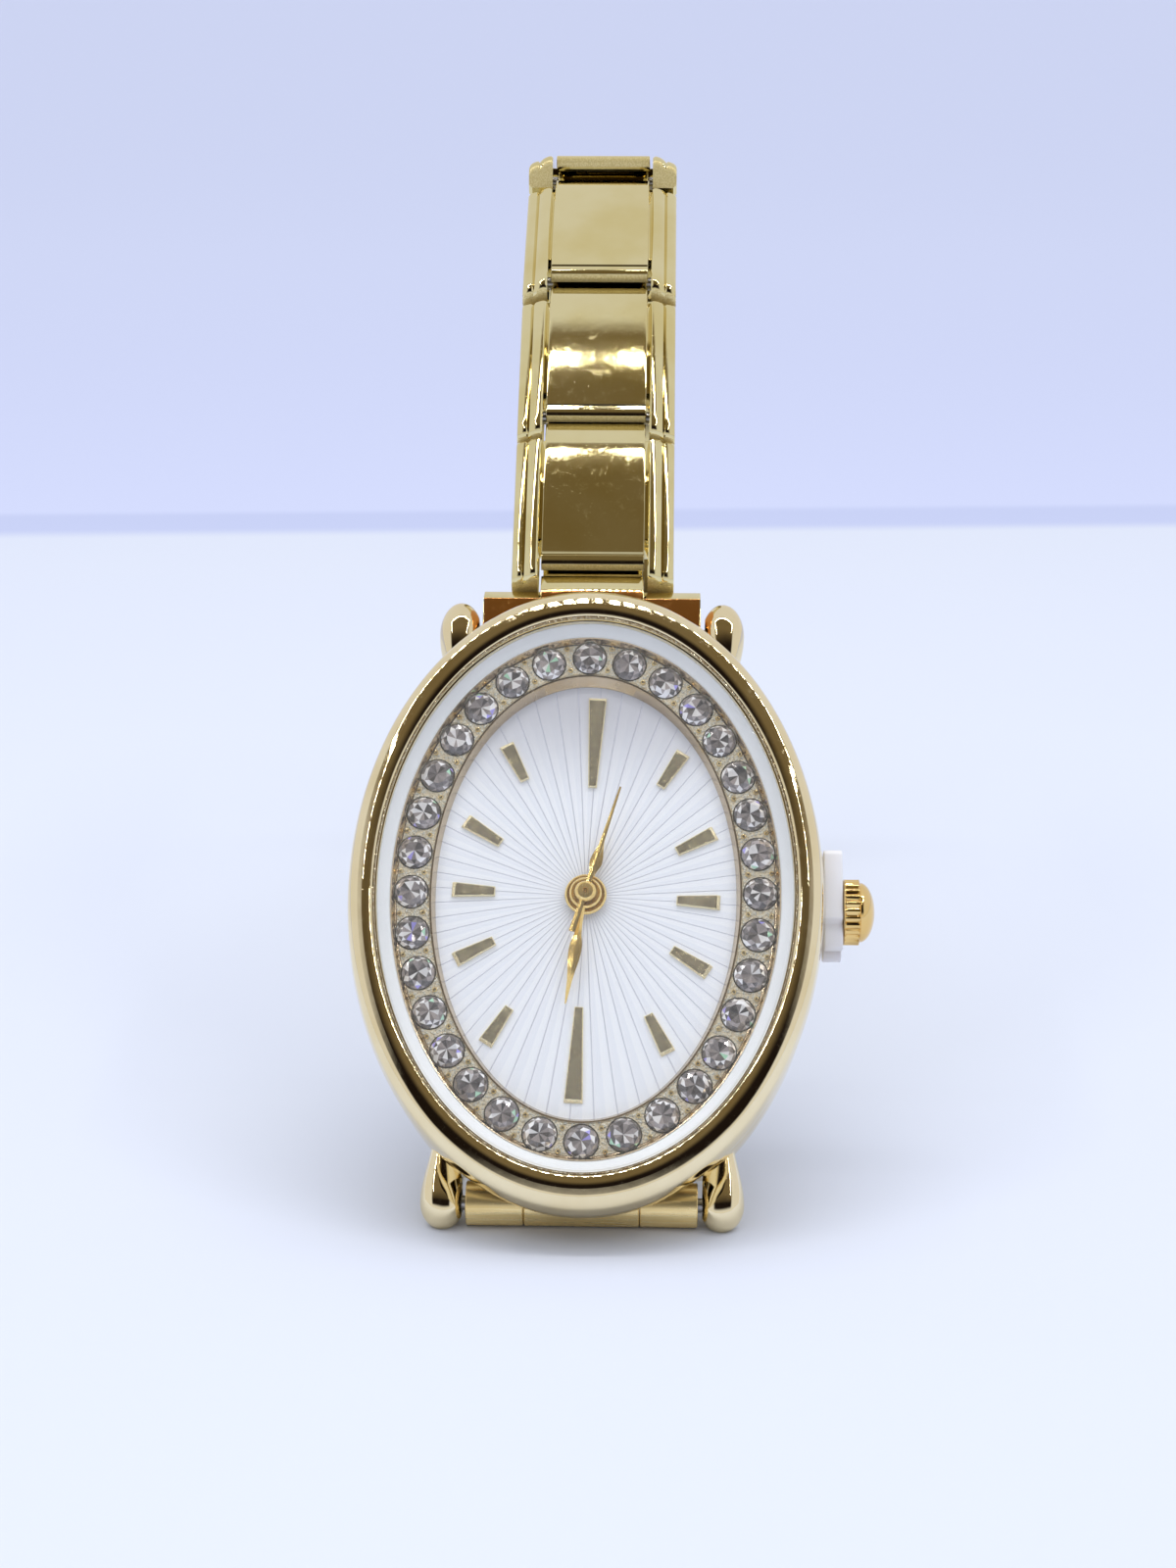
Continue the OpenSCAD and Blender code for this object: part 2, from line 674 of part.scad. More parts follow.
bar_tube_r = 0.75;
bar_tube_half = 4.4;
bar_stem_r = 0.45;
bar_collar_r = 0.62;
bar_collar_w = 0.2;
bar_travel = 0.9;
bar_tip_x = lug_gap / 2 + 0.8;
bar_collar_x = adapter_w / 2 - 0.5;
bar_stem_l = 2.4;
module bar_tube() {
    color(steel) difference() {
        cross_pin(bar_tube_r, -bar_tube_half, bar_tube_half);
        for (s = [0, 1]) mirror([s, 0, 0]) cross_pin(bar_stem_r + run_clear, 1, bar_tube_half + 1);
    }
}

module spring_bar_tubes() {
    for (side = [-1, 1]) at_bar(side) bar_tube();
}

module bar_pin() {
    color(steel) union() {
        cross_pin(bar_stem_r, bar_collar_x - bar_stem_l, bar_collar_x);
        cross_pin(bar_collar_r, bar_collar_x, bar_collar_x + bar_collar_w);
        cross_pin(bar_tip_r, bar_collar_x + bar_collar_w - 0.05, bar_tip_x);
    }
}

module at_bar(side) {
    in_case() translate([0, side * bar_half, bar_z]) children();
}

// Adapters that join the bracelet to the spring bars

tongue_r = 0.75;
tongue_half = plate_w / 2 - 0.1;
rail_in = plate_w / 2 + rail_gap;
rail_out = link_w / 2;
pin_half = rail_out - 0.4;
rail_low = stretch + pin_r + 0.5;
plate_low = rail_low - 1.05;
upper_roll_y = 1.75;
upper_roll_out = 1.2;

function tongue_outline(y0, y1) =
    concat([[y0, -tongue_r]], arc(y1, 0, tongue_r, -90, 90, 8), [[y0, tongue_r]]);

module upper_adapter() {
    color(gold) at_joint(upper_bar, upper_heading) difference() {
        union() {
            across(-adapter_w / 2, adapter_w / 2) polygon(concat(arc(0, 0, roll_r, 180, 270, 6),
                [[upper_roll_y, -roll_r], [upper_roll_y, upper_roll_out - 0.2],
                [upper_roll_y - 0.2, upper_roll_out], [-0.4, upper_roll_out], [-roll_r, 0.5]]));
            across(-tongue_half, tongue_half) polygon(tongue_outline(1, adapter_l));
            across(-plate_w / 2, plate_w / 2) polygon([[1, 0], [adapter_l - plate_low - 0.3, 0],
                [adapter_l - plate_low - 0.1, 0.9], [adapter_l - plate_low - 0.1, link_out - 0.4],
                [adapter_l - plate_low - 0.4, link_out - 0.1], [1, link_out - 0.2]]);
            cross_pin(pin_r, -pin_half, pin_half, adapter_l);
        }
        cross_pin(bar_tube_r + run_clear, -adapter_w, adapter_w);
    }
}

arm_out = 1;
module lower_adapter() {
    seam_x = adapter_w / 4;
    color(gold) at_joint(lower_joint, lower_heading) difference() {
        union() {
            cross_pin(roll_r, -adapter_w / 2, adapter_w / 2, adapter_l);
            for (s = [0, 1]) mirror([s, 0, 0]) across(rail_in, rail_out)
                polygon([[-rail_low + 0.4, -arm_in], [adapter_l - 0.2, -arm_in], [adapter_l - 0.2, arm_out],
                    [-rail_low + 0.4, arm_out], [-rail_low, arm_out - 0.4], [-rail_low, -arm_in + 0.4]]);
            across(-rail_in - 0.1, rail_in + 0.1)
                polygon([[1.3, -0.5], [adapter_l - 0.2, -0.5], [adapter_l - 0.2, 0.8], [1.3, 0.8]]);
            cross_pin(pin_r, -rail_in - 0.2, rail_in + 0.2);
        }
        cross_pin(bar_tube_r + run_clear, -adapter_w, adapter_w, adapter_l);
        for (s = [0, 1]) mirror([s, 0, 0]) difference() {
            cross_pin(roll_r + 1, seam_x - 0.04, seam_x + 0.04, adapter_l);
            cross_pin(roll_r - 0.06, seam_x - 1, seam_x + 1, adapter_l);
        }
    }
}

// Bracelet links: two side rails, a floor with a tongue, a cover plate and a leaf spring

joint_gap = 0.2;
open_link = 7;
plate_seat = link_out - plate_t;
floor_y = tongue_r + 0.25;
ridge_deep = 0.1;
rail_fall = 0.35;

// Side view of a rail from y0 to y1, with its inner lower corner cut back for the bend
module rail_side(y0, y1) {
    polygon(concat([[y0, 0], [y0, link_out - 0.4]], arc(y0 + 0.4, link_out - 0.4, 0.4, 180, 90, 3),
        [[y1 - 0.15, link_out], [y1, link_out - 0.15], [y1, -link_in],
        [y0 + 0.5, -link_in], [y0, -link_in + 0.5]]));
}

// Section of a rail: two ridges that fall away to the side
module rail_section() {
    w = rail_out - rail_in;
    crest = link_out - 0.5 * rail_fall;
    polygon([[rail_in, -link_in], [rail_out - 0.2, -link_in], [rail_out, -link_in + 0.2],
        [rail_out, link_out - 0.1 - rail_fall], [rail_out - 0.12 * w, link_out - rail_fall],
        [rail_out - 0.38 * w, crest], [rail_out - 0.46 * w, crest - ridge_deep],
        [rail_out - 0.54 * w, crest + 0.1 * rail_fall], [rail_in + 0.15 * w, link_out - 0.03],
        [rail_in, link_out - 0.1]]);
}

module rail(y0, y1) {
    intersection() {
        across(rail_in, rail_out) rail_side(y0, y1);
        translate([0, y1, 0]) rotate([90, 0, 0]) linear_extrude(y1 - y0) rail_section();
    }
}

// The tongue of the open link only meets the next pin, so that the loop can be parted there
function open_tongue_outline(y0, y1) = [[y0, -tongue_r], [y1 - 0.5, -tongue_r], [y1, -tongue_r + 0.4],
    [y1, tongue_r - 0.4], [y1 - 0.5, tongue_r], [y0, tongue_r]];

module link(k) {
    travel = k == 1 ? 0 : stretch;
    high = pitch - rail_low - joint_gap;
    color(gold) at_link(k) {
        difference() {
            union() {
                for (s = [0, 1]) mirror([s, 0, 0]) rail(-rail_low, high);
                translate([-rail_in - 0.1, floor_y, -link_in])
                    cube([2 * rail_in + 0.2, high - floor_y, link_in + plate_seat]);
                across(-tongue_half, tongue_half) polygon(k == open_link
                    ? open_tongue_outline(high - 0.5, pitch - pin_r - 0.05)
                    : tongue_outline(high - 0.5, pitch));
            }
            if (k != open_link) cross_pin(pin_r + run_clear, -plate_w, plate_w, pitch);
            for (s = [0, 1]) mirror([s, 0, 0]) {
                cross_pin(pin_r + run_clear, plate_w / 4, pin_half + 0.1);
                if (travel > 0) {
                    cross_pin(pin_r + run_clear, plate_w / 4, pin_half + 0.1, -travel);
                    translate([plate_w / 4, -travel, -pin_r - run_clear])
                        cube([pin_half + 0.1 - plate_w / 4, travel, 2 * (pin_r + run_clear)]);
                }
            }
            translate([-2, floor_y + 0.6, plate_seat - 0.75]) cube([4, high - floor_y - 1.2, 1]);
        }
        cover_plate(-plate_low, pitch - plate_low - 0.1);
        leaf_spring(floor_y + 0.7, high - 0.7);
    }
}

module cover_plate(y0, y1) {
    z0 = plate_seat + 0.02;
    across(-plate_w / 2, plate_w / 2) polygon([[y0, z0], [y0, link_out - 0.25], [y0 + 0.1, link_out - 0.08],
        [y0 + 0.3, link_out], [y0 + 0.62, link_out], [y0 + 0.7, link_out - 0.08], [y0 + 0.78, link_out],
        [y1 - 0.35, link_out], [y1 - 0.1, link_out - 0.1], [y1, link_out - 0.3], [y1, z0]]);
}

spring_half = 1.8;
module leaf_spring(y0, y1) {
    z0 = plate_seat - 0.7;
    mid = (y0 + y1) / 2;
    across(-spring_half, spring_half) polygon([[y0, z0], [mid, z0 + 0.4], [y1, z0],
        [y1, z0 + 0.15], [mid, z0 + 0.58], [y0, z0 + 0.15]]);
}

module link_pin(k) {
    color(steel) at_link(k) cross_pin(pin_r, -pin_half, pin_half);
}

function two(k) = str(k < 10 ? "0" : "", k);

case_body();
case_back();
back_gasket();
bezel();
crystal();
chapter_ring();
stone_ring();
stones();
dial();
hour_markers();
movement_ring();
main_plate();
battery();
circuit_board();
rotor();
seconds_wheel();
center_wheel();
minute_wheel();
hour_wheel();
seconds_hand();
minute_hand();
hour_hand();
setting_lever();
stem();
crown();
crown_spacer();
spring_bar_tubes();
at_bar(1) mirror([1, 0, 0]) bar_pin();  // upper_bar_pin_left
at_bar(1) bar_pin();  // upper_bar_pin_right
at_bar(-1) mirror([1, 0, 0]) bar_pin();  // lower_bar_pin_left
at_bar(-1) bar_pin();  // lower_bar_pin_right
upper_adapter();
lower_adapter();
for (k = [1:link_count]) link(k);
for (k = [2:link_count]) link_pin(k);
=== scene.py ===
"""Dresses the oval ladies' wristwatch and lights it on a pale table.

Shapes are worked out in millimetres in the frame of the case or of a link, and then set in place.
"""

import json
import logging
import math
import random
from dataclasses import dataclass
from enum import Enum
from typing import Any, Callable, Iterable, Sequence

import bmesh
import bpy
from mathutils import Matrix, Vector

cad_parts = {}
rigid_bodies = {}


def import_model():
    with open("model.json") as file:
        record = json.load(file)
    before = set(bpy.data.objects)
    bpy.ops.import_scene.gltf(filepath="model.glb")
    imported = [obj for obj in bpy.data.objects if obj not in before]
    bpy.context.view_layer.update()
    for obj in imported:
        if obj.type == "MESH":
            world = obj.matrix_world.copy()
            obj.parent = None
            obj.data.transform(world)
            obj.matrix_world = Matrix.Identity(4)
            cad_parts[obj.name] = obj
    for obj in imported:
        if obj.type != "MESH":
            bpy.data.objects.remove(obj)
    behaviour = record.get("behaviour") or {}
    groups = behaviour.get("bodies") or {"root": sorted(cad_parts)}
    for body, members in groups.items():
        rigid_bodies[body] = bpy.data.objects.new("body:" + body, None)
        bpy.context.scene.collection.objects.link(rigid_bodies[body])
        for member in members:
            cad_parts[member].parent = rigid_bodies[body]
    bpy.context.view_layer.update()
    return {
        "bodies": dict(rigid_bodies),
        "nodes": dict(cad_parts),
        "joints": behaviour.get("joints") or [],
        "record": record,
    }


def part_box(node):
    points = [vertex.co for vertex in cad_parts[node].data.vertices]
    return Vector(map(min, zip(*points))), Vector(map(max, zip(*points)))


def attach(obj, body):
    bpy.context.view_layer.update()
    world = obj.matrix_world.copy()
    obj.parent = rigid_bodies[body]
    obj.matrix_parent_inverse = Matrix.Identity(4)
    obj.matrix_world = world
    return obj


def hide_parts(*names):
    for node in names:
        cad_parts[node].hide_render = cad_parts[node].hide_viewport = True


LOG = logging.getLogger("watch")
MM = 0.001
Pair = tuple[float, float]
Pairs = tuple[Pair, ...]
Triple = tuple[float, float, float]
Colour = Triple
Point = Triple
OvalRing = Triple
Outline = Sequence[Pair]
Shape = bmesh.types.BMesh
Socket = bpy.types.NodeSocket
Material = bpy.types.Material


class Slot(Enum):
    """Material slots of the part's record."""

    CASE_GOLD = "case_gold"
    LINK_GOLD = "link_gold"
    HAND_GOLD = "hand_gold"
    STONE_GOLD = "stone_gold"
    CRYSTAL = "crystal_glass"
    STONES = "stone_glass"
    WHITE_RING = "white_ring"
    DIAL = "dial_silver"
    SPACER = "spacer_white"


class Axis(Enum):
    """Axes that a turned part can stand on."""

    X = 0
    Y = 1
    Z = 2


# Shapes


def outward(mesh: Shape) -> Shape:
    """Turns every face of a closed shape outwards."""
    bmesh.ops.recalc_face_normals(mesh, faces=mesh.faces[:])
    return mesh


def turned(section: Outline, steps: int, along: Axis = Axis.Z) -> Shape:
    """Turns a section about an axis.

    Args:
        section: Points (radius, height along the axis), from one end to the other.
        steps: Steps of the full turn.
        along: The axis of the turned part.

    Returns:
        A closed mesh when the section starts and ends on the axis.
    """
    mesh = bmesh.new()
    points = [mesh.verts.new((radius, 0.0, height)) for radius, height in section]
    lines = [mesh.edges.new(pair) for pair in zip(points, points[1:])]
    bmesh.ops.spin(mesh, geom=points + lines, cent=(0, 0, 0), axis=(0, 0, 1), dvec=(0, 0, 0),
                   angle=math.tau, steps=steps, use_merge=True, use_duplicate=False)
    bmesh.ops.remove_doubles(mesh, verts=mesh.verts[:], dist=1e-4)
    turns = {Axis.X: (math.pi / 2, "Y"), Axis.Y: (-math.pi / 2, "X")}
    if along in turns:
        angle, axis = turns[along]
        bmesh.ops.rotate(mesh, verts=mesh.verts[:], cent=(0, 0, 0), matrix=Matrix.Rotation(angle, 3, axis))
    return outward(mesh)


def oval_turned(rings: Sequence[OvalRing], steps: int, closed: bool,
                band: Callable[[int], int] | None = None) -> Shape:
    """Spins a section round the dial's axis and stretches each ring to its own oval.

    Args:
        rings: Half width, half length and height of each ring, outer side first.
        steps: Steps of the full turn.
        closed: Whether the last ring joins the first.
        band: Gives the material number of the band after each ring.

    Returns:
        The oval shape.
    """
    mesh = bmesh.new()
    points = [mesh.verts.new((index + 1.0, 0.0, ring[2])) for index, ring in enumerate(rings)]
    lines = [mesh.edges.new(pair) for pair in zip(points, points[1:])]
    if closed:
        lines.append(mesh.edges.new((points[-1], points[0])))
    bmesh.ops.spin(mesh, geom=points + lines, cent=(0, 0, 0), axis=(0, 0, 1), dvec=(0, 0, 0),
                   angle=math.tau, steps=steps, use_merge=True, use_duplicate=False)
    order = {vert: round(math.hypot(vert.co.x, vert.co.y)) - 1 for vert in mesh.verts}
    if band:
        for face in mesh.faces:
            face.material_index = band(min(order[vert] for vert in face.verts))
    for vert, index in order.items():
        angle = math.atan2(vert.co.y, vert.co.x)
        half_w, half_l, height = rings[index]
        vert.co = (half_w * math.cos(angle), half_l * math.sin(angle), height)
    bmesh.ops.remove_doubles(mesh, verts=mesh.verts[:], dist=1e-4)
    return outward(mesh)


def pressed(outline: Outline, x0: float, x1: float) -> Shape:
    """Extrudes an outline in the plane of Y and Z from x0 to x1.

    Args:
        outline: Points (y, z) round the outline.
        x0: Where it starts along X.
        x1: Where it ends.

    Returns:
        The solid shape.
    """
    mesh = bmesh.new()
    face = mesh.faces.new([mesh.verts.new((x0, y, z)) for y, z in outline])
    made = bmesh.ops.extrude_face_region(mesh, geom=[face])
    bmesh.ops.translate(mesh, vec=(x1 - x0, 0, 0),
                        verts=[item for item in made["geom"] if isinstance(item, bmesh.types.BMVert)])
    return outward(mesh)


def block(low: Sequence[float], high: Sequence[float]) -> Shape:
    """A box between two corners.

    Args:
        low: Its lowest corner.
        high: Its highest corner.

    Returns:
        The box.
    """
    mesh = bmesh.new()
    bmesh.ops.create_cube(mesh, size=1.0)
    bmesh.ops.scale(mesh, verts=mesh.verts[:], vec=[b - a for a, b in zip(low, high)])
    bmesh.ops.translate(mesh, verts=mesh.verts[:], vec=[(a + b) / 2 for a, b in zip(low, high)])
    return mesh


def softened(mesh: Shape, width: float, segments: int = 2, angle: float = 30) -> Shape:
    """Rounds every edge that turns by more than an angle.

    Args:
        mesh: The shape, changed in place.
        width: Width of the rounding.
        segments: Steps of the rounding.
        angle: Smallest turn that counts as an edge, in degrees.

    Returns:
        The same mesh.
    """
    edges = [edge for edge in mesh.edges
             if len(edge.link_faces) == 2 and edge.calc_face_angle(0) > math.radians(angle)]
    bmesh.ops.bevel(mesh, geom=edges, offset=width, affect="EDGES", segments=segments, profile=0.5,
                    material=-1, clamp_overlap=True)
    return mesh


def joined(shapes: Iterable[Shape]) -> Shape:
    """Puts several shapes into one mesh and frees them.

    Args:
        shapes: The shapes, which are freed.

    Returns:
        One mesh of all of them.
    """
    whole = bmesh.new()
    for shape in shapes:
        part = bpy.data.meshes.new("part")
        shape.to_mesh(part)
        whole.from_mesh(part)
        bpy.data.meshes.remove(part)
        shape.free()
    return whole


def moved(mesh: Shape, matrix: Matrix) -> Shape:
    """Moves a shape by a matrix, and keeps its faces outwards when the matrix mirrors it.

    Args:
        mesh: The shape, changed in place.
        matrix: The move.

    Returns:
        The same mesh.
    """
    bmesh.ops.transform(mesh, matrix=matrix, verts=mesh.verts[:])
    if matrix.to_3x3().determinant() < 0:
        bmesh.ops.reverse_faces(mesh, faces=mesh.faces[:])
    return mesh


def mirrored_pair(make: Callable[[], Shape]) -> Shape:
    """A shape and its mirror image across the middle of the watch."""
    return joined([make(), moved(make(), Matrix.Scale(-1, 4, (1, 0, 0)))])


def set_down(name: str, shape: Shape) -> bpy.types.Object:
    """Makes an object of the scene from a shape.

    Args:
        name: Name of the object and of its mesh.
        shape: The shape, which is freed.

    Returns:
        The object.
    """
    mesh = bpy.data.meshes.new(name)
    shape.to_mesh(mesh)
    shape.free()
    thing = bpy.data.objects.new(name, mesh)
    bpy.context.scene.collection.objects.link(thing)
    return thing


def carved(mesh: Shape, tool: Shape) -> Shape:
    """Cuts one shape out of another.

    Args:
        mesh: The shape that is cut, which is freed.
        tool: The shape that is taken away, which is freed.

    Returns:
        A new mesh.
    """
    whole, away = set_down("whole", mesh), set_down("tool", tool)
    cut = whole.modifiers.new("cut", "BOOLEAN")
    cut.operation = "DIFFERENCE"
    cut.solver = "EXACT"
    cut.use_self = True
    cut.object = away
    bpy.context.view_layer.update()
    result = bpy.data.meshes.new_from_object(whole.evaluated_get(bpy.context.evaluated_depsgraph_get()))
    left = bmesh.new()
    left.from_mesh(result)
    bpy.data.meshes.remove(result)
    for thing in (whole, away):
        data = thing.data
        bpy.data.objects.remove(thing)
        bpy.data.meshes.remove(data)
    return left


def rolled_tongue(start: float, end: float, radius: float, half_w: float) -> Shape:
    """A flat tongue along Y that ends in a roll round the next pin.

    Args:
        start: Where it starts along Y.
        end: Where the pin's axis is along Y.
        radius: Radius of the roll, and half the tongue's thickness.
        half_w: Half its width.

    Returns:
        The tongue.
    """
    steps = 10
    roll = [(end + radius * math.sin(math.pi * k / steps), -radius * math.cos(math.pi * k / steps))
            for k in range(steps + 1)]
    return softened(pressed([(start, -radius), *roll, (start, radius)], -half_w, half_w), 0.05, 2, 60)


# Places


@dataclass(frozen=True)
class Stand:
    """Where the pieces stand at rest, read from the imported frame.

    Args:
        case: Takes millimetres in the case's frame to the world.
        upper: The same for the upper adapter.
        lower: The same for the lower adapter.
        links: The same for each link, from the one beside 12 o'clock.
    """

    case: Matrix
    upper: Matrix
    lower: Matrix
    links: tuple[Matrix, ...]

    @staticmethod
    def between(start: Vector, end: Vector) -> Matrix:
        """A frame in millimetres at start, whose Y axis points to end and whose X axis is the world's.

        Args:
            start: Place of the frame.
            end: Point that the Y axis looks at.

        Returns:
            The frame's matrix.
        """
        along = (end - start).normalized()
        across = Vector((1, 0, 0))
        outward = across.cross(along)
        place = Matrix((across, along, outward)).transposed().to_4x4()
        place.translation = start
        return place @ Matrix.Scale(MM, 4)

    @classmethod
    def from_frame(cls, frame: dict[str, Any], arbor_height: float = 3.0) -> "Stand":
        """Reads the places from the joints and the link pins.

        Args:
            arbor_height: Height of the hands' pivot point above the case back.

        Returns:
            The places of the case, the adapters and the links.
        """
        joints = {joint["name"]: joint for joint in frame["joints"]}
        outward = -Vector(joints["seconds_hand_turn"]["axis"]).normalized()
        upward = Vector(joints["spacer_pull_off"]["axis"]).normalized()
        centre = Vector(joints["seconds_hand_turn"]["pos_m"]) - outward * arbor_height * MM
        case = Matrix((upward.cross(outward), upward, outward)).transposed().to_4x4()
        case.translation = centre
        pivots = [Vector(joints["link_01_fold"]["pos_m"])]
        for number in range(2, 15):
            low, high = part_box(f"link_pin_{number:02d}")
            pivots.append((low + high) / 2)
        pivots.append(Vector(joints["link_14_fold"]["pos_m"]))
        return cls(
            case=case @ Matrix.Scale(MM, 4),
            upper=cls.between(Vector(joints["upper_adapter_swing"]["pos_m"]), pivots[0]),
            lower=cls.between(pivots[-1], Vector(joints["lower_adapter_swing"]["pos_m"])),
            links=tuple(cls.between(a, b) for a, b in zip(pivots, pivots[1:])),
        )


# Finishes


class NodeSheet:
    """A small helper that adds and joins nodes in one tree."""

    def __init__(self, tree: bpy.types.NodeTree) -> None:
        """Keeps the tree that is drawn on."""
        self.tree = tree

    def add(self, kind: str, **settings: Any) -> bpy.types.Node:
        """Adds a node and sets its options.

        Args:
            kind: Type of the node.
            settings: Its options by name.

        Returns:
            The node.
        """
        node = self.tree.nodes.new(kind)
        for name, value in settings.items():
            setattr(node, name, value)
        return node

    def feed(self, socket: Socket, value: Any) -> None:
        """Joins an output to a socket, or writes a plain value in it.

        Args:
            socket: The input.
            value: An output, a number or a colour.
        """
        if isinstance(value, Socket):
            self.tree.links.new(value, socket)
        elif isinstance(value, tuple) and socket.type == "RGBA":
            socket.default_value = (*value[:3], 1.0)
        else:
            socket.default_value = value

    def maths(self, operation: str, *values: Any, clamp: bool = False) -> Socket:
        """One arithmetic step on numbers or sockets.

        Args:
            operation: Name of the step.
            values: Its numbers or outputs.
            clamp: Whether the result stays within 0 and 1.

        Returns:
            The result.
        """
        node = self.add("ShaderNodeMath", operation=operation, use_clamp=clamp)
        for socket, value in zip(node.inputs, values):
            self.feed(socket, value)
        return node.outputs[0]

    def noise(self, vector: Any, scale: Any, detail: float = 2.0, roughness: float = 0.5) -> Socket:
        """Soft cloudy noise.

        Args:
            vector: Coordinates.
            scale: Features per unit.
            detail: Octaves.
            roughness: Weight of the fine ones.

        Returns:
            The noise, from 0 to 1.
        """
        node = self.add("ShaderNodeTexNoise")
        self.feed(node.inputs["Vector"], vector)
        self.feed(node.inputs["Scale"], scale)
        node.inputs["Detail"].default_value = detail
        node.inputs["Roughness"].default_value = roughness
        return node.outputs["Fac"]

    def ramp(self, value: Any, low: float, high: float, to_low: Any = 0.0, to_high: Any = 1.0) -> Socket:
        """Smoothly maps a value from one span to another.

        Args:
            value: The value.
            low: Start of its span.
            high: End of its span.
            to_low: Result at the start.
            to_high: Result at the end.

        Returns:
            The result.
        """
        node = self.add("ShaderNodeMapRange", interpolation_type="SMOOTHSTEP")
        for name, number in (("Value", value), ("From Min", low), ("From Max", high),
                             ("To Min", to_low), ("To Max", to_high)):
            self.feed(node.inputs[name], number)
        return node.outputs["Result"]

    def mix(self, share: Any, first: Any, second: Any) -> Socket:
        """Mixes two colours.

        Args:
            share: Share of the second colour.
            first: First colour.
            second: Second colour.

        Returns:
            The mixed colour.
        """
        node = self.add("ShaderNodeMix", data_type="RGBA")
        self.feed(node.inputs[0], share)
        self.feed(node.inputs[6], first)
        self.feed(node.inputs[7], second)
        return node.outputs[2]


class Effect(NodeSheet):
    """A shader node group that several finishes share."""

    def __init__(self, name: str, inputs: dict[str, str], outputs: dict[str, str]) -> None:
        """Makes the group and its sockets.

        Args:
            name: Name of the group.
            inputs: Socket types by input name.
            outputs: Socket types by output name.
        """
        super().__init__(bpy.data.node_groups.new(name, "ShaderNodeTree"))
        for label, kind in inputs.items():
            self.tree.interface.new_socket(name=label, in_out="INPUT", socket_type=kind)
        for label, kind in outputs.items():
            self.tree.interface.new_socket(name=label, in_out="OUTPUT", socket_type=kind)
        self.source = self.add("NodeGroupInput").outputs
        self.result = self.add("NodeGroupOutput").inputs


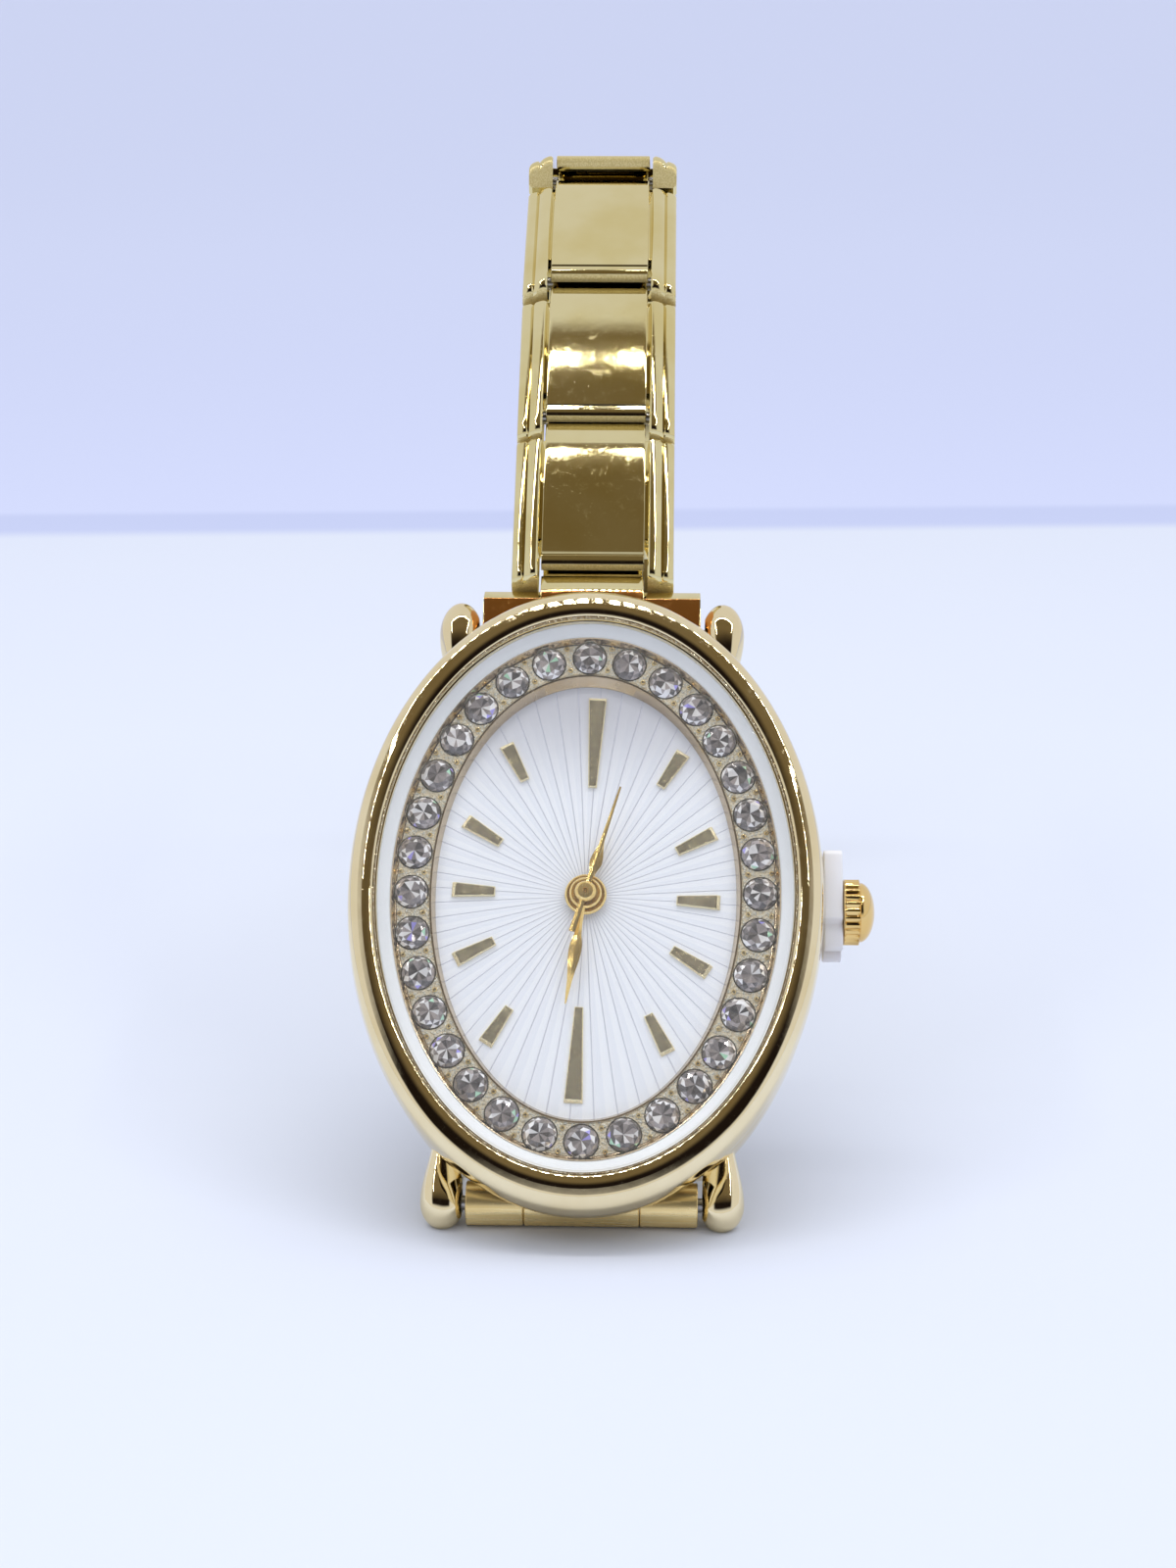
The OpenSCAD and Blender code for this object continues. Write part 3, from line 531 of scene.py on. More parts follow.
class Effects:
    """The shared effects, built once."""

    FLOAT = "NodeSocketFloat"
    COLOUR = "NodeSocketColor"
    VECTOR = "NodeSocketVector"

    def __init__(self) -> None:
        """Builds every effect."""
        self.polish = self._polish()
        self.grain = self._grain()
        self.brushing = self._brushing()
        self.rays = self._rays()

    def _polish(self) -> bpy.types.NodeTree:
        """Handling marks, faint colour clouds and tiny ripples of a polished plating.

        Returns:
            The group.
        """
        effect = Effect("plating_polish",
                        {"Vector": self.VECTOR, "Plating": self.COLOUR, "Deep": self.COLOUR,
                         "Smooth": self.FLOAT, "Worn": self.FLOAT},
                        {"Colour": self.COLOUR, "Roughness": self.FLOAT, "Height": self.FLOAT})
        source, vector = effect.source, effect.source["Vector"]
        clouds = effect.noise(vector, 0.22, 3.0)
        marks = effect.ramp(effect.noise(vector, 1.7, 6.0, 0.65), 0.5, 0.72)
        pits = effect.ramp(effect.noise(vector, 9.0, 2.0), 0.66, 0.74)
        effect.feed(effect.result["Colour"],
                    effect.mix(effect.ramp(clouds, 0.35, 0.7), source["Plating"], source["Deep"]))
        effect.feed(effect.result["Roughness"],
                    effect.maths("ADD", effect.ramp(marks, 0.0, 1.0, source["Smooth"], source["Worn"]),
                                 effect.maths("MULTIPLY", pits, 0.12)))
        ripple = effect.maths("MULTIPLY", effect.noise(vector, 0.9, 2.0), 0.7)
        specks = effect.maths("MULTIPLY", effect.noise(vector, 14.0, 2.0), 0.045)
        effect.feed(effect.result["Height"], effect.maths("ADD", ripple, specks))
        return effect.tree

    def _grain(self) -> bpy.types.NodeTree:
        """Coarse cast grain: rounded pebbles with darker seams between them.

        Returns:
            The group.
        """
        effect = Effect("cast_grain", {"Vector": self.VECTOR, "Scale": self.FLOAT},
                        {"Mask": self.FLOAT, "Height": self.FLOAT})
        source = effect.source
        pebbles = effect.add("ShaderNodeTexVoronoi")
        effect.feed(pebbles.inputs["Vector"], source["Vector"])
        effect.feed(pebbles.inputs["Scale"], source["Scale"])
        fine = effect.noise(source["Vector"], effect.maths("MULTIPLY", source["Scale"], 1.9), 3.0)
        height = effect.maths("ADD", effect.maths("MULTIPLY", pebbles.outputs["Distance"], -0.8),
                              effect.maths("MULTIPLY", fine, 0.9))
        effect.feed(effect.result["Height"], height)
        effect.feed(effect.result["Mask"], effect.ramp(height, -0.1, 0.32))
        return effect.tree

    def _brushing(self) -> bpy.types.NodeTree:
        """Fine lines along the Y axis of the vector.

        Returns:
            The group.
        """
        effect = Effect("fine_brushing", {"Vector": self.VECTOR, "Scale": self.FLOAT},
                        {"Mask": self.FLOAT, "Height": self.FLOAT})
        stretch = effect.add("ShaderNodeVectorMath", operation="MULTIPLY")
        effect.feed(stretch.inputs[0], effect.source["Vector"])
        stretch.inputs[1].default_value = (1.0, 0.04, 1.0)
        lines = effect.noise(stretch.outputs[0], effect.source["Scale"], 3.0, 0.6)
        effect.feed(effect.result["Height"], lines)
        effect.feed(effect.result["Mask"], effect.ramp(lines, 0.3, 0.7))
        return effect.tree

    def _rays(self) -> bpy.types.NodeTree:
        """Sunburst lines pressed in a dial, round the Z axis of the vector, with masks for painted shade
        along each line and across each ray.

        Returns:
            The group.
        """
        effect = Effect("pressed_rays", {"Vector": self.VECTOR, "Rays": self.FLOAT, "Width": self.FLOAT},
                        {"Line": self.FLOAT, "Side": self.FLOAT, "Height": self.FLOAT})
        source = effect.source
        turn = effect.add("ShaderNodeTexGradient", gradient_type="RADIAL")
        effect.feed(turn.inputs["Vector"], source["Vector"])
        share = effect.maths("FRACT", effect.maths("MULTIPLY", turn.outputs["Fac"], source["Rays"]))
        reach = effect.add("ShaderNodeVectorMath", operation="LENGTH")
        effect.feed(reach.inputs[0], source["Vector"])
        round_way = effect.maths("MULTIPLY", reach.outputs["Value"], math.tau)
        spacing = effect.maths("DIVIDE", round_way, source["Rays"])
        off_middle = effect.maths("ABSOLUTE", effect.maths("SUBTRACT", share, 0.5))
        off = effect.maths("MULTIPLY", off_middle, spacing)
        # Masks for painted shade: along each pressed line, and from one edge of a ray to the other.
        effect.feed(effect.result["Line"], effect.ramp(off, source["Width"], 0.0))
        effect.feed(effect.result["Side"], effect.ramp(share, 0.0, 1.0))
        effect.feed(effect.result["Height"], effect.ramp(off, 0.0, source["Width"]))
        return effect.tree


class Finish(NodeSheet):
    """A material with its Principled shader and its coordinates in millimetres."""

    def __init__(self, name: str, case: Matrix | None = None) -> None:
        """Makes an empty material.

        Args:
            name: Name of the material.
            case: The case's place, for patterns that lie in the case's frame.
        """
        self.material = bpy.data.materials.new(name)
        self.material.use_nodes = True
        super().__init__(self.material.node_tree)
        self.tree.nodes.clear()
        self.shader = self.add("ShaderNodeBsdfPrincipled")
        output = self.add("ShaderNodeOutputMaterial")
        self.tree.links.new(self.shader.outputs["BSDF"], output.inputs["Surface"])
        place = self.add("ShaderNodeMapping", vector_type="POINT")
        self.tree.links.new(self.add("ShaderNodeTexCoord").outputs["Object"], place.inputs["Vector"])
        place.inputs["Scale"].default_value = (1 / MM,) * 3
        if case is not None:
            turn = case.to_3x3().normalized().transposed()
            place.inputs["Rotation"].default_value = turn.to_euler("XYZ")
            place.inputs["Location"].default_value = -(turn @ case.translation) / MM
        self.vector = place.outputs["Vector"]

    def set(self, **values: Any) -> None:
        """Writes values or joins sockets to the shader, by input names with underscores."""
        for name, value in values.items():
            self.feed(self.shader.inputs[name.replace("_", " ")], value)

    def effect(self, tree: bpy.types.NodeTree, **values: Any) -> bpy.types.NodeOutputs:
        """Places a shared effect on this material's coordinates.

        Args:
            tree: The effect's group.
            values: Its inputs, with underscores for spaces.

        Returns:
            The effect's outputs.
        """
        node = self.add("ShaderNodeGroup")
        node.node_tree = tree
        self.feed(node.inputs["Vector"], self.vector)
        for name, value in values.items():
            self.feed(node.inputs[name.replace("_", " ")], value)
        return node.outputs

    def bump(self, height: Socket, strength: float, depth: float) -> None:
        """Feeds a height to the shader's normal.

        Args:
            height: The height.
            strength: Share of the effect.
            depth: Depth in millimetres.
        """
        node = self.add("ShaderNodeBump")
        node.inputs["Strength"].default_value = strength
        node.inputs["Distance"].default_value = depth * MM
        self.feed(node.inputs["Height"], height)
        self.feed(self.shader.inputs["Normal"], node.outputs["Normal"])


@dataclass(frozen=True)
class PolishedPlating:
    """Polished gold-tone plating with light handling marks."""

    name: str
    plating: Colour
    deep: Colour
    smooth: float = 0.05
    worn: float = 0.16
    ripple: float = 0.03

    def build(self, effects: Effects) -> Material:
        """Makes the material.

        Args:
            effects: The shared effects.

        Returns:
            The material.
        """
        finish = Finish(self.name)
        polish = finish.effect(effects.polish, Plating=self.plating, Deep=self.deep,
                               Smooth=self.smooth, Worn=self.worn)
        finish.set(Base_Color=polish["Colour"], Roughness=polish["Roughness"], Metallic=1.0)
        finish.bump(polish["Height"], 1.0, self.ripple)
        return finish.material


@dataclass(frozen=True)
class GrainedMetal:
    """Cast or speckled metal with a visible grain."""

    name: str
    bright: Colour
    dark: Colour
    scale: float
    depth: float
    smooth: float = 0.22
    rough: float = 0.5
    metallic: float = 1.0

    def build(self, effects: Effects) -> Material:
        """Makes the material.

        Args:
            effects: The shared effects.

        Returns:
            The material.
        """
        finish = Finish(self.name)
        grain = finish.effect(effects.grain, Scale=self.scale)
        finish.set(Base_Color=finish.mix(grain["Mask"], self.dark, self.bright), Metallic=self.metallic,
                   Roughness=finish.ramp(grain["Mask"], 0.0, 1.0, self.rough, self.smooth))
        finish.bump(grain["Height"], 1.0, self.depth)
        return finish.material


@dataclass(frozen=True)
class BrushedMetal:
    """Metal with fine lines along one axis.

    Args:
        turn: Turns the lines away from the Y axis, about Z, in radians.
    """

    name: str
    bright: Colour
    dark: Colour
    scale: float = 9.0
    depth: float = 0.01
    smooth: float = 0.2
    rough: float = 0.38
    turn: float = 0.0
    metallic: float = 1.0

    def build(self, effects: Effects) -> Material:
        """Makes the material.

        Args:
            effects: The shared effects.

        Returns:
            The material.
        """
        finish = Finish(self.name)
        turned_by = finish.add("ShaderNodeVectorRotate", rotation_type="Z_AXIS")
        finish.feed(turned_by.inputs["Vector"], finish.vector)
        turned_by.inputs["Angle"].default_value = self.turn
        finish.vector = turned_by.outputs["Vector"]
        lines = finish.effect(effects.brushing, Scale=self.scale)
        finish.set(Base_Color=finish.mix(lines["Mask"], self.dark, self.bright), Metallic=self.metallic,
                   Roughness=finish.ramp(lines["Mask"], 0.0, 1.0, self.rough, self.smooth))
        finish.bump(lines["Height"], 1.0, self.depth)
        return finish.material


@dataclass(frozen=True)
class MouldedPlastic:
    """Moulded or coated material with a faint texture and colour clouds."""

    name: str
    colour: Colour
    shade: Colour
    roughness: float = 0.4
    subsurface: float = 0.0
    depth: float = 0.01

    def build(self, effects: Effects) -> Material:
        """Makes the material.

        Args:
            effects: The shared effects.

        Returns:
            The material.
        """
        finish = Finish(self.name)
        polish = finish.effect(effects.polish, Plating=self.colour, Deep=self.shade,
                               Smooth=self.roughness, Worn=min(1.0, self.roughness + 0.15))
        finish.set(Base_Color=polish["Colour"], Roughness=polish["Roughness"], Metallic=0.0)
        if self.subsurface:
            finish.set(Subsurface_Weight=self.subsurface, Subsurface_Scale=0.6 * MM,
                       Subsurface_Radius=(1.0, 0.9, 0.8))
        finish.bump(polish["Height"], 1.0, self.depth)
        return finish.material


@dataclass(frozen=True)
class RayedSilver:
    """Silver-white dial paint over pressed rays, with painted shade across each ray, along the pressed lines
    and towards 12 o'clock.
    """

    name: str = "rayed_silver"
    silver: Colour = (0.97, 0.98, 1.0)
    # Painted shade on one edge of each ray; the random mottle also leans to this colour.
    shade: Colour = (0.88, 0.90, 0.95)
    # Painted shade in the pressed grooves.
    line: Colour = (0.64, 0.64, 0.75)
    # Painted shade towards 12 o'clock.
    top_painted_shade: Colour = (0.54, 0.53, 0.56)
    rays: float = 60.0
    line_width: float = 0.05

    def build(self, effects: Effects, case: Matrix) -> Material:
        """Makes the material round the middle of the dial.

        Args:
            effects: The shared effects.
            case: Place of the case.

        Returns:
            The material.
        """
        finish = Finish(self.name, case)
        rays = finish.effect(effects.rays, Rays=self.rays, Width=self.line_width)
        speckle = finish.noise(finish.vector, 7.0, 3.0, 0.7)
        # Painted shade: each ray darkens from one edge to the other.
        panel = finish.mix(finish.maths("MULTIPLY", rays["Side"], 0.7), self.silver, self.shade)
        panel = finish.mix(finish.ramp(speckle, 0.35, 0.7, 0.0, 0.25), panel, self.shade)
        # Painted shadow that darkens the dial towards 12 o'clock.
        spot = finish.add("ShaderNodeSeparateXYZ")
        finish.feed(spot.inputs[0], finish.vector)
        panel = finish.mix(finish.ramp(spot.outputs["Y"], 4.5, 11.5, 0.0, 0.85), panel, self.top_painted_shade)
        # Painted shade along the pressed lines.
        finish.set(Base_Color=finish.mix(finish.maths("MULTIPLY", rays["Line"], 0.75), panel, self.line),
                   Roughness=finish.ramp(speckle, 0.3, 0.7, 0.35, 0.55), Metallic=0.1)
        finish.bump(finish.maths("ADD", rays["Height"], finish.maths("MULTIPLY", speckle, 0.1)), 1.0, 0.03)
        return finish.material


@dataclass(frozen=True)
class WatchGlass:
    """Thin clear crystal with a painted whitish sheen that thickens towards the edge, and faint smudges."""

    name: str = "watch_glass"
    tint: Colour = (0.93, 0.96, 0.97)

    def build(self) -> Material:
        """Makes the material.

        Returns:
            The material.
        """
        finish = Finish(self.name)
        facing = finish.add("ShaderNodeLayerWeight")
        facing.inputs["Blend"].default_value = 0.25
        marks = finish.ramp(finish.noise(finish.vector, 1.1, 6.0, 0.7), 0.55, 0.8, 0.0, 0.02)
        # Painted sheen: a whitish layer that thickens as the glass turns away, plus real smudge marks.
        smudge_and_edge_sheen = finish.maths("ADD", finish.ramp(facing.outputs["Facing"], 0.1, 1.0, 0.025, 0.55), marks)
        finish.set(Base_Color=self.tint, Roughness=finish.maths("ADD", marks, 0.02), Metallic=0.0,
                   Alpha=smudge_and_edge_sheen, Specular_IOR_Level=0.6)
        finish.material.surface_render_method = "BLENDED"
        return finish.material


@dataclass(frozen=True)
class CutStone:
    """Foil-backed cut glass: each facet carries a painted tone that stands in for the light it throws back.
    """

    name: str = "cut_stone"
    attribute: str = "painted_facet_light"

    def build(self) -> Material:
        """Makes the material.

        Returns:
            The material.
        """
        finish = Finish(self.name)
        # The facet attribute holds painted light: a tone per facet that stands in for its reflection.
        tint = finish.add("ShaderNodeAttribute", attribute_name=self.attribute)
        cloud = finish.ramp(finish.noise(finish.vector, 2.4, 3.0), 0.3, 0.7, 0.0, 0.2)
        finish.set(Base_Color=finish.mix(cloud, tint.outputs["Color"], (0.5, 0.45, 0.43)),
                   Roughness=finish.maths("MULTIPLY", cloud, 0.4), Metallic=0.3, Coat_Weight=0.5,
                   Coat_Roughness=0.02)
        return finish.material


class Palette:
    """Every finish of the watch, built once."""

    def __init__(self, case: Matrix) -> None:
        """Builds the materials.

        Args:
            case: Place of the case, for the dial's rays.
        """
        effects = Effects()
        quarter = math.pi / 2

        def made(kind: type, *values: Any, **more: float) -> Material:
            """Builds one finish."""
            return kind(*values, **more).build(effects)

        self.case_gold = made(PolishedPlating, "case_gold", (0.90, 0.78, 0.51), (0.84, 0.70, 0.42),
                              0.03, 0.12, 0.008)
        self.bead_line = made(GrainedMetal, "beaded_line_gold", (0.95, 0.84, 0.60), (0.42, 0.30, 0.16),
                              6.5, 0.12, 0.12, 0.35)
        self.crown_gold = made(PolishedPlating, "crown_gold", (0.86, 0.62, 0.26), (0.80, 0.54, 0.20))
        self.link_gold = made(PolishedPlating, "link_gold", (0.79, 0.69, 0.38), (0.73, 0.61, 0.28),
                              0.045, 0.1, 0.003)
        self.end_gold = made(GrainedMetal, "link_end_gold", (0.86, 0.72, 0.36), (0.70, 0.56, 0.24),
                             10.0, 0.004, 0.3, 0.45, 0.35)
        # Darker gold for the walls of the stone ring: painted shade in the recess, on the same plating.
        self.wall_gold_painted_shade = made(PolishedPlating, "inner_wall_gold", (0.66, 0.54, 0.38), (0.54, 0.43, 0.29),
                              0.2, 0.32)
        # Deeper orange-brown for the adapter's flat faces: painted shade on the same plating.
        self.front_gold_painted_shade = made(PolishedPlating, "connector_gold", (0.74, 0.36, 0.12), (0.64, 0.29, 0.09),
                               0.1, 0.2, 0.006)
        self.roll_gold = made(BrushedMetal, "roll_gold", (0.97, 0.78, 0.40), (0.88, 0.66, 0.28),
                              6.0, 0.006, 0.26, 0.36, quarter, 0.85)
        self.hand_gold = made(BrushedMetal, "hand_gold", (1.0, 0.76, 0.32), (0.84, 0.58, 0.18),
                              12.0, 0.003, 0.1, 0.2, metallic=0.82)
        self.marker_gold = made(GrainedMetal, "marker_gold", (1.0, 0.91, 0.62), (0.86, 0.74, 0.46),
                                16.0, 0.01, 0.14, 0.3, 0.6)
        self.marker_top = made(GrainedMetal, "marker_top_gold", (0.54, 0.48, 0.33), (0.25, 0.21, 0.13),
                               16.0, 0.03, 0.08, 0.22)
        self.stone_gold = made(GrainedMetal, "stone_ring_gold", (1.0, 0.97, 0.82), (0.93, 0.80, 0.56),
                               6.0, 0.26, 0.25, 0.5, 0.35)
        self.bead_gold = made(PolishedPlating, "bead_gold", (1.0, 0.86, 0.54), (0.84, 0.66, 0.34),
                              0.24, 0.36)
        self.dial = RayedSilver().build(effects, case)
        self.crystal = WatchGlass().build()
        self.stones = CutStone().build()
        self.white_ring = made(MouldedPlastic, "white_ring", (0.90, 0.91, 0.91), (0.86, 0.87, 0.87), 0.3)
        self.spacer = made(MouldedPlastic, "milky_plastic", (0.86, 0.85, 0.88), (0.80, 0.78, 0.82),
                           0.42, 0.25, 0.02)
        self.pin_steel = made(BrushedMetal, "pin_steel", (0.50, 0.49, 0.48), (0.34, 0.33, 0.33),
                              8.0, 0.01, 0.22, 0.4, quarter)
        self.back_steel = made(BrushedMetal, "back_steel", (0.66, 0.66, 0.66), (0.52, 0.52, 0.53), 5.0)
        self.battery_steel = made(BrushedMetal, "battery_steel", (0.72, 0.72, 0.71), (0.6, 0.6, 0.6), 4.0)
        self.plate_metal = made(BrushedMetal, "plate_metal", (0.75, 0.74, 0.70), (0.6, 0.59, 0.56), 7.0)
        self.wheel_brass = made(BrushedMetal, "wheel_brass", (0.80, 0.62, 0.28), (0.64, 0.47, 0.2), 7.0)
        self.magnet = made(GrainedMetal, "magnet_grey", (0.27, 0.27, 0.29), (0.18, 0.18, 0.2), 10.0, 0.02)
        self.rubber = made(MouldedPlastic, "gasket_rubber", (0.05, 0.05, 0.05), (0.035, 0.035, 0.035), 0.6)
        self.ring_plastic = made(MouldedPlastic, "movement_plastic", (0.80, 0.79, 0.75), (0.72, 0.71, 0.68))
        self.board = made(MouldedPlastic, "board_green", (0.08, 0.26, 0.14), (0.05, 0.18, 0.1), 0.35)

    def of_carried_nodes(self) -> dict[str, Material]:
        """Chooses a finish for each CAD node that stays.

        Returns:
            The materials by node name.
        """
        pins = [f"link_pin_{number:02d}" for number in range(2, 15)]
        pins += [f"{end}_bar_pin_{side}" for end in ("upper", "lower") for side in ("left", "right")]
        table = {name: self.pin_steel for name in (*pins, "stem", "spring_bar_tubes")}
        table |= {name: self.wheel_brass for name in
                  ("seconds_wheel", "center_wheel", "minute_wheel", "hour_wheel")}
        table |= {"case_back": self.back_steel, "back_gasket": self.rubber,
                  "movement_ring": self.ring_plastic, "main_plate": self.plate_metal,
                  "battery": self.battery_steel, "circuit_board": self.board,
                  "rotor": self.magnet, "setting_lever": self.plate_metal}
        return table


# Pieces


@dataclass(frozen=True)
class Piece:
    """How a finished shape joins the model.

    Args:
        name: Name of the piece.
        body: The CAD body that it rides on.
        nodes: The CAD nodes that it stands for.
        slot: Its material slot; not used.
        place: Takes its millimetres to the world.
        materials: Its materials, by face number.
        smooth: Largest angle between faces that still shade as one, or None for flat facets.
    """

    name: str
    body: str
    nodes: tuple[str, ...]
    slot: Slot
    place: Matrix
    materials: tuple[Material, ...]
    smooth: float | None = 32.0

    def add(self, shape: Shape,
            tints: Callable[[bpy.types.Mesh], None] | None = None) -> bpy.types.Object:
        """Turns a shape into an object of the scene, sets it on its body and hides the CAD nodes that it
        stands for.

        Args:
            shape: The shape in millimetres, which is freed.
            tints: Writes colour attributes on the finished mesh.

        Returns:
            The object, which sits at the origin.
        """
        thing = set_down(self.name, moved(shape, self.place))
        mesh = thing.data
        for material in self.materials:
            mesh.materials.append(material)
        if self.smooth is not None:
            mesh.shade_smooth()
            mesh.set_sharp_from_angle(angle=math.radians(self.smooth))
        if tints:
            tints(mesh)
        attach(thing, self.body)
        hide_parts(*self.nodes)
        LOG.info("%s: %d faces", self.name, len(mesh.polygons))
        return thing


@dataclass
class CaseShell:
    """The middle case with its cavity, the notches for the adapters and four drop-shaped lugs.

    Args:
        foot_in: How far the flank draws in at its foot.
        foot_h: Height over which it does so.
        rim: Steps of the upper rim, as (distance inwards, drop below the top).
        cavity: Half width and half length of the hollow for the movement.
        back: The same of the opening for the back plate.
        back_t: Thickness of the ledge round the back plate.
        bar_y: Distance of the spring bars from the middle.
        lug_gap: Half the gap between two lugs.
        lug_r: Largest radius of a lug.
        tip_l: Length of the tips past the spring bar, lower and upper lugs.
        crease_at: Direction of a lug's crease, in degrees from the side.
        crease_spread: Angle over which the crease fades.
        crease_rise: Share by which the crease stands out.
        rim_w: Width of the rim round a lug's flat side.
        groove: Width and depth of the step inside that rim.
        swing_room: Corners of the space that an adapter swings through.
        fold_angle: Turn of that space about the spring bar, in degrees.
        tube_z: Height of the hole for the stem.
        stem_r: Radius of that hole.
    """

    half_w: float = 12.45
    half_l: float = 16.9
    height: float = 4.5
    foot_in: float = 1.1
    foot_h: float = 1.5
    rim: Pairs = ((0.0, 0.22), (0.04, 0.1), (0.14, 0.0))
    cavity: Pair = (9.9, 12.4)
    back: Pair = (8.85, 11.45)
    back_t: float = 1.0
    bar_y: float = 15.85
    bar_z: float = 2.2
    lug_x: float = 7.25
    lug_gap: float = 6.25
    lug_r: float = 1.18
    tip_l: Pair = (1.4, 1.85)
    neck_r: float = 0.6
    neck_y: float = 12.2
    crease_at: float = 62.0
    crease_spread: float = 34.0
    crease_rise: float = 0.07
    rim_w: float = 0.12
    groove: Pair = (0.05, 0.08)
    notch_y: float = 14.2
    notch_top: float = 3.9
    swing_room: tuple[Point, Point] = ((-5, -1, -1.1), (5, 16, 16))
    fold_angle: float = 230.2
    tube_z: float = 2.4
    stem_r: float = 0.55

    def _flank(self) -> Shape:
        """The oval band with its hollow.

        Returns:
            The shape.
        """
        a, b = self.half_w, self.half_l
        foot = [(a - self.foot_in * (1 - math.sin(t)), b - self.foot_in * (1 - math.sin(t)),
                 self.foot_h * (1 - math.cos(t))) for t in (k * math.pi / 16 for k in range(9))]
        rim = [(a - inset, b - inset, self.height - drop) for inset, drop in self.rim]
        hollow = [(*self.cavity, self.height), (*self.cavity, self.back_t),
                  (*self.back, self.back_t), (*self.back, 0.0)]
        return oval_turned([*foot, *rim, *hollow], 160, True)

    def _notches(self) -> Shape:
        """Room for an adapter and its swing at both ends.

        Returns:
            The shape.
        """
        swing = (Matrix.Translation((0, self.bar_y, self.bar_z))
                 @ Matrix.Rotation(math.radians(self.fold_angle), 4, "X"))
        shapes = []
        for mirror in (Matrix.Scale(-1, 4, (0, 1, 0)), Matrix.Identity(4)):
            notch = block((-self.lug_gap, self.notch_y, -1),
                          (self.lug_gap, self.half_l + 3, self.notch_top))
            shapes += [moved(notch, mirror), moved(moved(block(*self.swing_room), swing), mirror)]
        return joined(shapes)

    def _lug(self, tip_l: float) -> Shape:
        """A drop turned about an axis along Y, with a crease, cut flat on the side of the gap.

        Args:
            tip_l: Length of the tip past the spring bar.

        Returns:
            The shape.
        """
        swell = self.lug_r - self.neck_r
        section = [(0.0, self.neck_y), (self.neck_r, self.neck_y)]
        section += [(self.neck_r + swell * (0.5 - 0.5 * math.cos(k * math.pi / 10)),
                     self.neck_y + (self.bar_y - self.neck_y) * k / 10) for k in range(1, 11)]
        section += [(self.lug_r * math.cos(k * math.pi / 24), self.bar_y + tip_l * math.sin(k * math.pi / 24))
                    for k in range(1, 13)]
        drop = turned(section, 56, Axis.Y)
        for vert in drop.verts:
            angle = math.degrees(math.atan2(vert.co.z, vert.co.x))
            near = max(0.0, 1.0 - abs(angle - self.crease_at) / self.crease_spread)
            crease = near * min(1.0, max(0.0, self.bar_y + 1 - vert.co.y))
            vert.co.x *= 1 + self.crease_rise * crease
            vert.co.z *= 1 + self.crease_rise * crease
        bmesh.ops.translate(drop, verts=drop.verts[:], vec=(self.lug_x, 0, self.bar_z))
        flat = bmesh.ops.bisect_plane(drop, geom=drop.verts[:] + drop.edges[:] + drop.faces[:], dist=1e-5,
                                      plane_co=(self.lug_gap, 0, 0), plane_no=(-1, 0, 0), clear_outer=True)
        rim = [item for item in flat["geom_cut"] if isinstance(item, bmesh.types.BMEdge)]
        filled = bmesh.ops.holes_fill(drop, edges=rim, sides=0)["faces"]
        bmesh.ops.inset_region(drop, faces=filled, thickness=self.rim_w, depth=0.0)
        bmesh.ops.inset_region(drop, faces=filled, thickness=self.groove[0], depth=-self.groove[1])
        return outward(drop)

    def add(self, stand: Stand, palette: Palette) -> None:
        """Puts the case in the scene.

        Args:
            stand: Where the pieces stand.
            palette: The finishes.
        """
        flank = carved(self._flank(), self._notches())
        start, end = self.cavity[0] - 2, self.half_w + 1
        hole = turned([(0, start), (self.stem_r, start), (self.stem_r, end), (0, end)], 32, Axis.X)
        flank = carved(flank, moved(hole, Matrix.Translation((0, 0, self.tube_z))))
        lugs = []
        for mirror_x in (1, -1):
            for mirror_y in (1, -1):
                tip_l = self.tip_l[1 if mirror_y > 0 else 0]
                lugs.append(moved(self._lug(tip_l), Matrix.Diagonal((mirror_x, mirror_y, 1, 1))))
        Piece("case_shell", "case", ("case_body",), Slot.CASE_GOLD, stand.case,
              (palette.case_gold,)).add(joined([flank, *lugs]))


